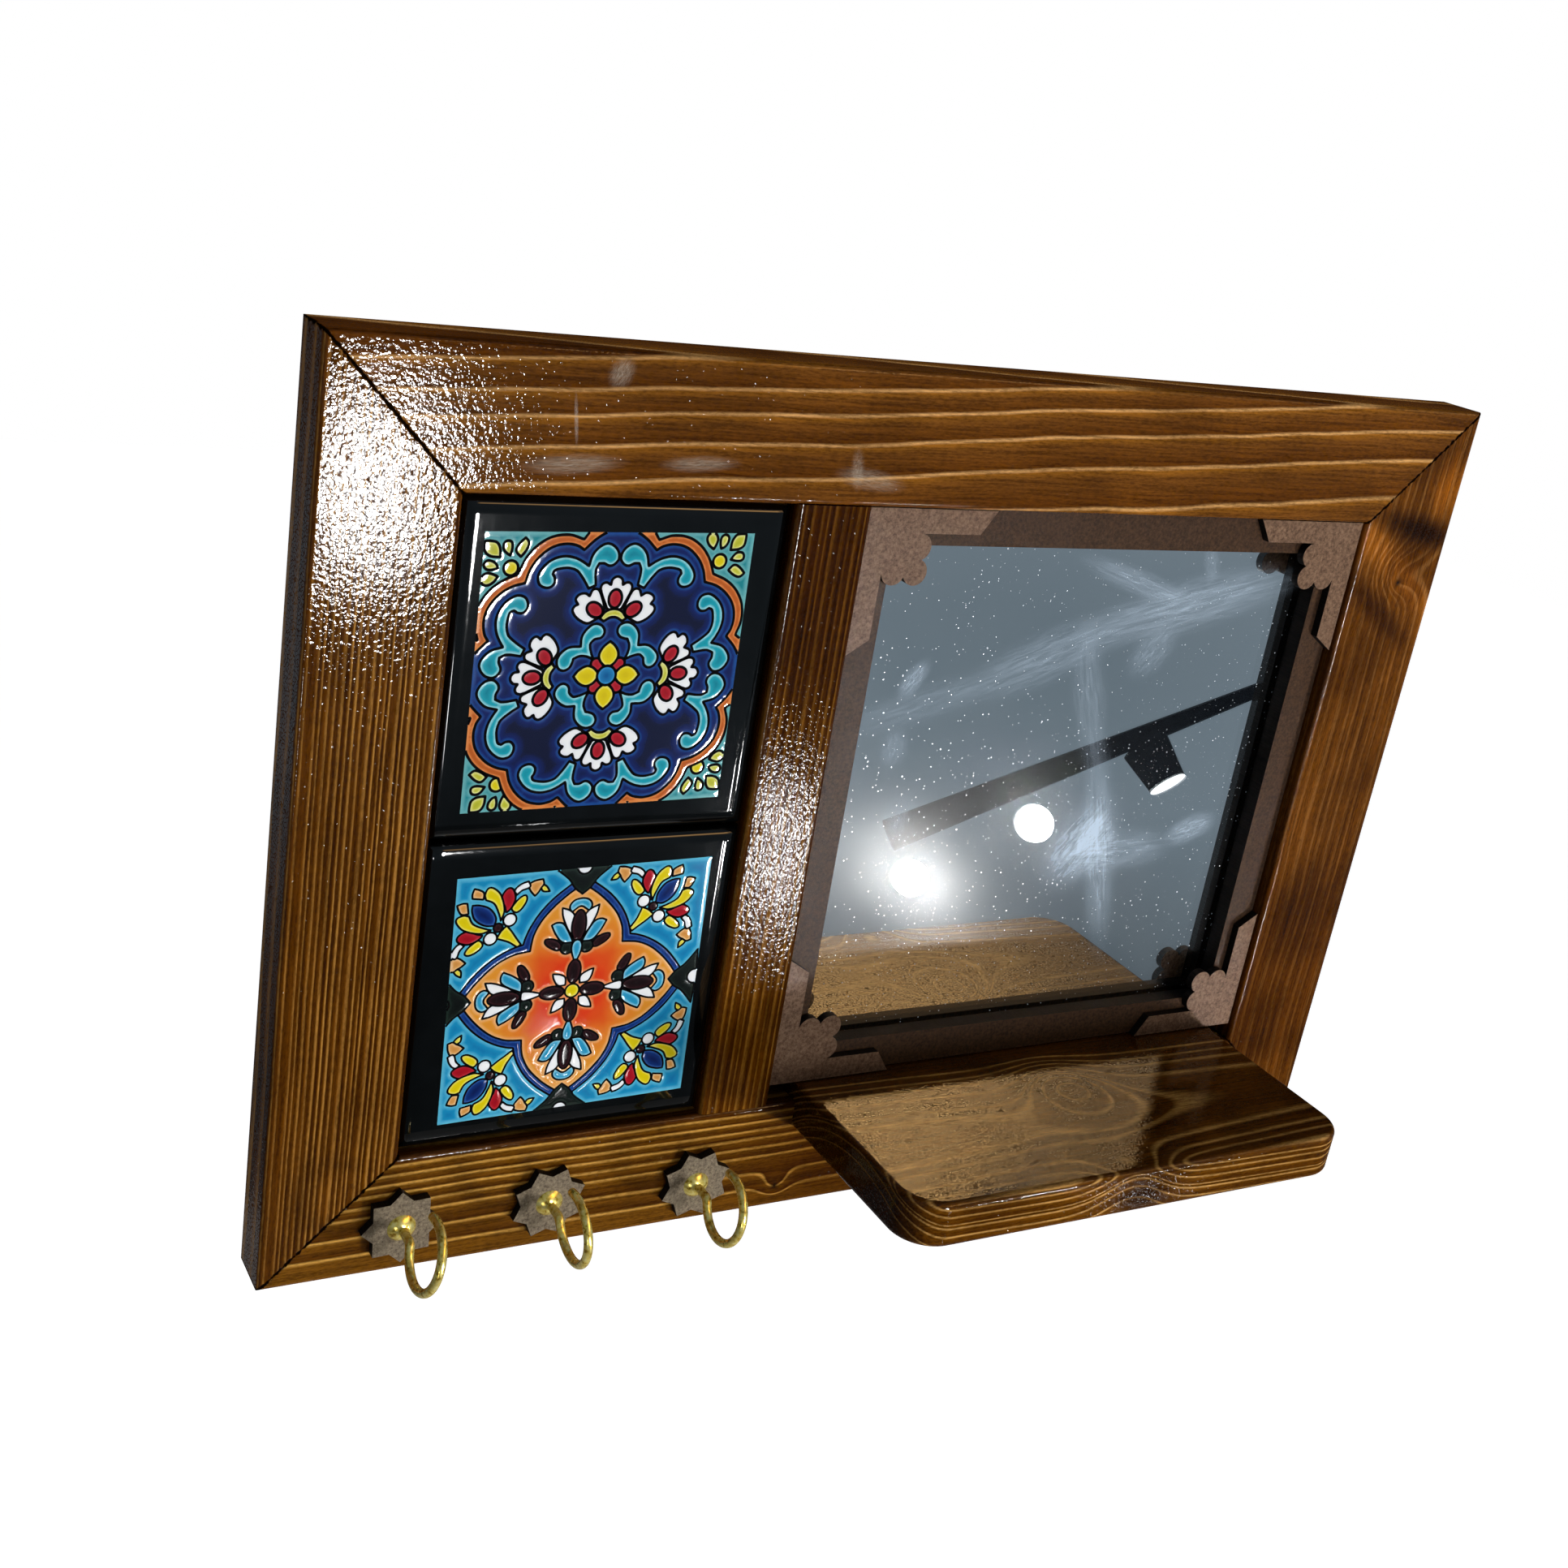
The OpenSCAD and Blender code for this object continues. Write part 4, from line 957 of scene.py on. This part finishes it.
def polished_brass():
    """Lacquered brass wire: warm and bright, with marks some 1.4 mm across, partly wear and partly
    painted reflection in its colour.
    """
    finish, tree, shader = new_finish("polished_brass")
    wear_and_reflection = add(tree, "TexNoise", {"Vector": in_mm(tree), "Scale": 0.7, "Detail": 3.0})
    # Wear marks and painted reflection: dark streaks and pale patches in the brass colour
    colour = add(tree, "ValToRGB", {0: wear_and_reflection}, stops=(
        (0.33, tone("#a07a22")), (0.44, tone("#ecd060")), (0.7, tone("#fff2a0"))))
    skin = add(tree, "Bump", {"Strength": 0.6, "Distance": 0.05 * MM, "Height": wear_and_reflection})
    feed(tree, shader, {"Base Color": colour, "Metallic": 0.7, "Roughness": 0.24, "Normal": skin})
    return finish


rosette_board = laser_cut_board("laser_cut_board_rosette", "#4e4236", "#94866f", 0.0)
brass = polished_brass()
for side in ("left", "middle", "right"):
    cover(nodes["rosette_" + side], rosette_board)
    cover(nodes["hook_" + side], brass)

# ---- Floor and light ----
# A plain pale floor well below the part, a white surround, one soft key lamp low on the right,
# and round lamps and their rail that show in the glass and the varnish.

FLOOR_Z = -1.3
FLOOR_HALF = 6.0


def pale_floor():
    """The floor's paint: white to the camera, and it still takes a shadow."""
    finish, tree, shader = new_finish("pale_floor")
    path = add(tree, "LightPath")
    lit = add(tree, "Emission", {"Color": tone("#ffffff"), "Strength": 0.85})
    speck = add(tree, "TexNoise", {"Scale": 4.0})
    pale = add(tree, "ValToRGB", {0: speck}, stops=((0.3, tone("#d8d8d8")), (0.7, tone("#dedede"))))
    feed(tree, shader, {"Base Color": pale, "Roughness": 0.9})
    both = add(tree, "AddShader", {0: shader, 1: lit})
    shown = add(tree, "MixShader", {0: path.outputs["Is Camera Ray"], 1: shader, 2: both})
    tree.links.new(shown.outputs[0], tree.nodes["Material Output"].inputs["Surface"])
    return finish


def stage_mesh(name, verts, faces, finish):
    """A mesh that belongs to the stage and not to the part."""
    mesh = bpy.data.meshes.new(name)
    mesh.from_pydata(verts, [], faces)
    mesh.materials.append(finish)
    made = bpy.data.objects.new(name, mesh)
    bpy.context.scene.collection.objects.link(made)
    return made


stage_mesh("floor", [(x * FLOOR_HALF, y * FLOOR_HALF, FLOOR_Z)
                     for x, y in ((-1, -1), (1, -1), (1, 1), (-1, 1))],
           [(0, 1, 2, 3)], pale_floor())


def room_screen():
    """A dim screen round the part, seen only in its shiny surfaces: blue-grey in front, warm and
    bright high up on the right, and dark brown high up behind."""
    finish, tree, shader = new_finish("dim_screen")
    place = add(tree, "TexCoord").outputs["Object"]
    drift = add(tree, "TexNoise", {"Vector": place, "Scale": 0.8, "Detail": 2.0})
    colour = add(tree, "ValToRGB", {0: drift}, stops=(
        (0.35, tone("#6a767f")), (0.65, tone("#808c96"))))
    where = add(tree, "SeparateXYZ", {0: place})
    low = add(tree, "MapRange", {"Value": where.outputs["Z"], "From Min": -0.95, "From Max": -0.6})
    colour = add(tree, "MixRGB", {0: low, 1: tone("#454b50"), 2: colour})
    high = add(tree, "MapRange", {"Value": where.outputs["Z"], "From Min": 0.45, "From Max": 0.95})
    roof = add(tree, "MapRange", {"Value": where.outputs["Z"], "From Min": 1.15, "From Max": 1.3,
                                  "To Min": 1.0, "To Max": 0.0})
    right = add(tree, "MapRange", {"Value": where.outputs["X"], "From Min": 0.3, "From Max": 0.8})
    warm = add(tree, "Math", {0: high, 1: right}, operation="MULTIPLY")
    warm = add(tree, "Math", {0: warm, 1: roof}, operation="MULTIPLY")
    fade = add(tree, "MapRange", {"Value": where.outputs["X"], "From Min": 1.14, "From Max": 1.3,
                                  "To Min": 1.0, "To Max": 0.35})
    warm = add(tree, "Math", {0: warm, 1: fade}, operation="MULTIPLY")
    glow = [8.5 * c for c in tone("#ffc67f")]
    colour = add(tree, "MixRGB", {0: warm, 1: colour, 2: glow})
    behind = add(tree, "MapRange", {"Value": where.outputs["Y"], "From Min": -0.35,
                                    "From Max": 0.1})
    above = add(tree, "MapRange", {"Value": where.outputs["Z"], "From Min": -0.4, "From Max": 0.0})
    behind = add(tree, "Math", {0: behind, 1: above}, operation="MULTIPLY")
    colour = add(tree, "MixRGB", {0: behind, 1: colour, 2: tone("#33231b")})
    lit = add(tree, "Emission", {"Color": colour, "Strength": 1.0})
    tree.links.new(lit.outputs[0], tree.nodes["Material Output"].inputs["Surface"])
    return finish


SCREEN_R = 1.8
SCREEN_TOP = 1.6
turns = [math.radians(a) for a in range(-180, 181, 6)]
ring = [(SCREEN_R * math.cos(a), SCREEN_R * math.sin(a)) for a in turns]
verts = [(x, y, z) for z in (FLOOR_Z + 0.01, SCREEN_TOP) for x, y in ring]
n = len(ring)
verts += [(0.0, 0.0, SCREEN_TOP)]
faces = [(k, k + 1, n + k + 1, n + k) for k in range(n - 1)]
faces += [(n + k, n + k + 1, 2 * n) for k in range(n - 1)]
screen = stage_mesh("dim_screen", verts, faces, room_screen())
screen.visible_camera = screen.visible_diffuse = screen.visible_shadow = False


def rod(name, start, end, radii, finish, lit_end=None):
    """A round bar that shows only in shiny surfaces. Its end may carry a lit disc."""
    start, end = Vector(start), Vector(end)
    spin = (end - start).to_track_quat("Z", "Y")
    verts = [tuple(at + spin @ Vector((r * math.cos(a), r * math.sin(a), 0.0)))
             for at, r in zip((start, end), radii) for a in turns[:-1]]
    n = len(turns) - 1
    faces = [(k, (k + 1) % n, n + (k + 1) % n, n + k) for k in range(n)]
    faces += [tuple(range(n)), tuple(range(n, 2 * n))]
    made = stage_mesh(name, verts, faces, finish)
    made.visible_camera = made.visible_diffuse = made.visible_shadow = False
    if lit_end:
        # The face at the start of the bar
        made.data.materials.append(lit_end)
        made.data.polygons[n].material_index = 1


def glowing(name, low, high, strength):
    """An even glow, dark or bright, that doesn't depend on other light."""
    finish, tree, shader = new_finish(name)
    speck = add(tree, "TexNoise", {"Scale": 30.0})
    colour = add(tree, "ValToRGB", {0: speck}, stops=((0.3, tone(low)), (0.7, tone(high))))
    lit = add(tree, "Emission", {"Color": colour, "Strength": strength})
    tree.links.new(lit.outputs[0], tree.nodes["Material Output"].inputs["Surface"])
    return finish


dark_metal = glowing("dark_rail", "#070a0e", "#0e1217", 1.0)
lamp_glass = glowing("lit_lamp_glass", "#fdfdff", "#ffffff", 5.0)
rod("lamp_rail", (0.722, -1.013, -0.497), (1.16, -0.873, -0.254), (0.0165, 0.0045), dark_metal)
rod("lamp_head", (0.987, -0.918, -0.414), (0.978, -0.953, -0.386), (0.0195, 0.025), dark_metal,
    lamp_glass)


def lamp(name, place, target, radius, watts, lights=True, glares=True, tall=1.0):
    """A round lamp aimed at a point. It may light the part, show in its gloss, or both."""
    light = bpy.data.lights.new(name, "AREA")
    light.shape, light.size, light.size_y = "ELLIPSE", 2 * radius, 2 * radius * tall
    light.energy = watts
    made = bpy.data.objects.new(name, light)
    made.location = place
    made.rotation_euler = (Vector(target) - Vector(place)).to_track_quat("-Z", "Y").to_euler()
    made.visible_camera = False
    made.visible_diffuse = lights
    made.visible_glossy = made.visible_transmission = glares
    bpy.context.scene.collection.objects.link(made)


# Two lamps light the front and don't show in it
lamp("key", (0.78, -1.02, -0.52), (0, 0, 0), 0.11, 11.8, glares=False)
lamp("key_left", (0.223, -1.257, -0.207), (-0.05, 0, 0), 0.10, 5.1, glares=False)
# Two show in the glass, one on the left boards, one down the upright bar, and the others as
# glints on the shelf's edge, the tiles and the hooks
lamp("lamp_near", (0.726, -0.970, -0.524), (0.01, 0, -0.03), 0.018, 3.0, lights=False)
lamp("lamp_far", (0.842, -0.939, -0.458), (0.06, 0, -0.01), 0.0185, 0.5, lights=False)
lamp("lamp_left", (0.223, -1.257, -0.207), (-0.19, 0, 0.103), 0.078, 11.0, lights=False, tall=1.25)
lamp("lamp_bar", (0.57, -1.0, -0.487), (-0.05, 0, -0.008), 0.014, 1.7, lights=False, tall=5.6)
lamp("lamp_front", (0.952, -0.957, -0.812), (0.06, -0.093, -0.103), 0.009, 0.05, lights=False)
lamp("lamp_low", (0.393, -1.058, -0.722), (-0.116, 0, -0.071), 0.004, 0.05, lights=False, tall=8.0)
lamp("lamp_side", (-0.75, -1.1, -0.4), (-0.11, 0, 0), 0.05, 1.5, lights=False)
# One lights the back
lamp("lamp_back", (0.45, 1.2, 1.2), (0, 0, 0), 0.3, 14.0, glares=False)

world = bpy.data.worlds.new("white_surround")
bpy.context.scene.world = world
world.use_nodes = True
sky = world.node_tree
ground = sky.nodes["Background"]
path = add(sky, "LightPath")
shown = add(sky, "Math", {0: path.outputs["Is Camera Ray"], 1: path.outputs["Is Glossy Ray"]},
            operation="MAXIMUM")
shown = add(sky, "Math", {0: shown, 1: path.outputs["Is Transmission Ray"]}, operation="MAXIMUM")
level = add(sky, "MapRange", {"Value": shown, "To Min": 0.17, "To Max": 1.0})
feed(sky, ground, {"Color": (1.0, 1.0, 1.0, 1.0), "Strength": level.outputs[0]})

# ---- Camera ----
# It stands where the photograph was taken from: left of the part, above it and half a metre
# off. Its place and lens were fitted to the straight edges of the frame, tiles and shelf.

camera = bpy.data.objects.new("camera", bpy.data.cameras.new("camera"))
bpy.context.scene.collection.objects.link(camera)
camera.location = (-0.34558, -0.48556, 0.21999)
camera.rotation_euler = [math.radians(a) for a in (68.7131, -8.7177, -28.0947)]
camera.data.sensor_width = 36.0
camera.data.lens = 44.4786
camera.data.shift_x = 0.01510
camera.data.shift_y = 0.01051
camera.data.clip_start = 0.01
bpy.context.scene.camera = camera
bpy.context.scene.view_settings.view_transform = "Standard"
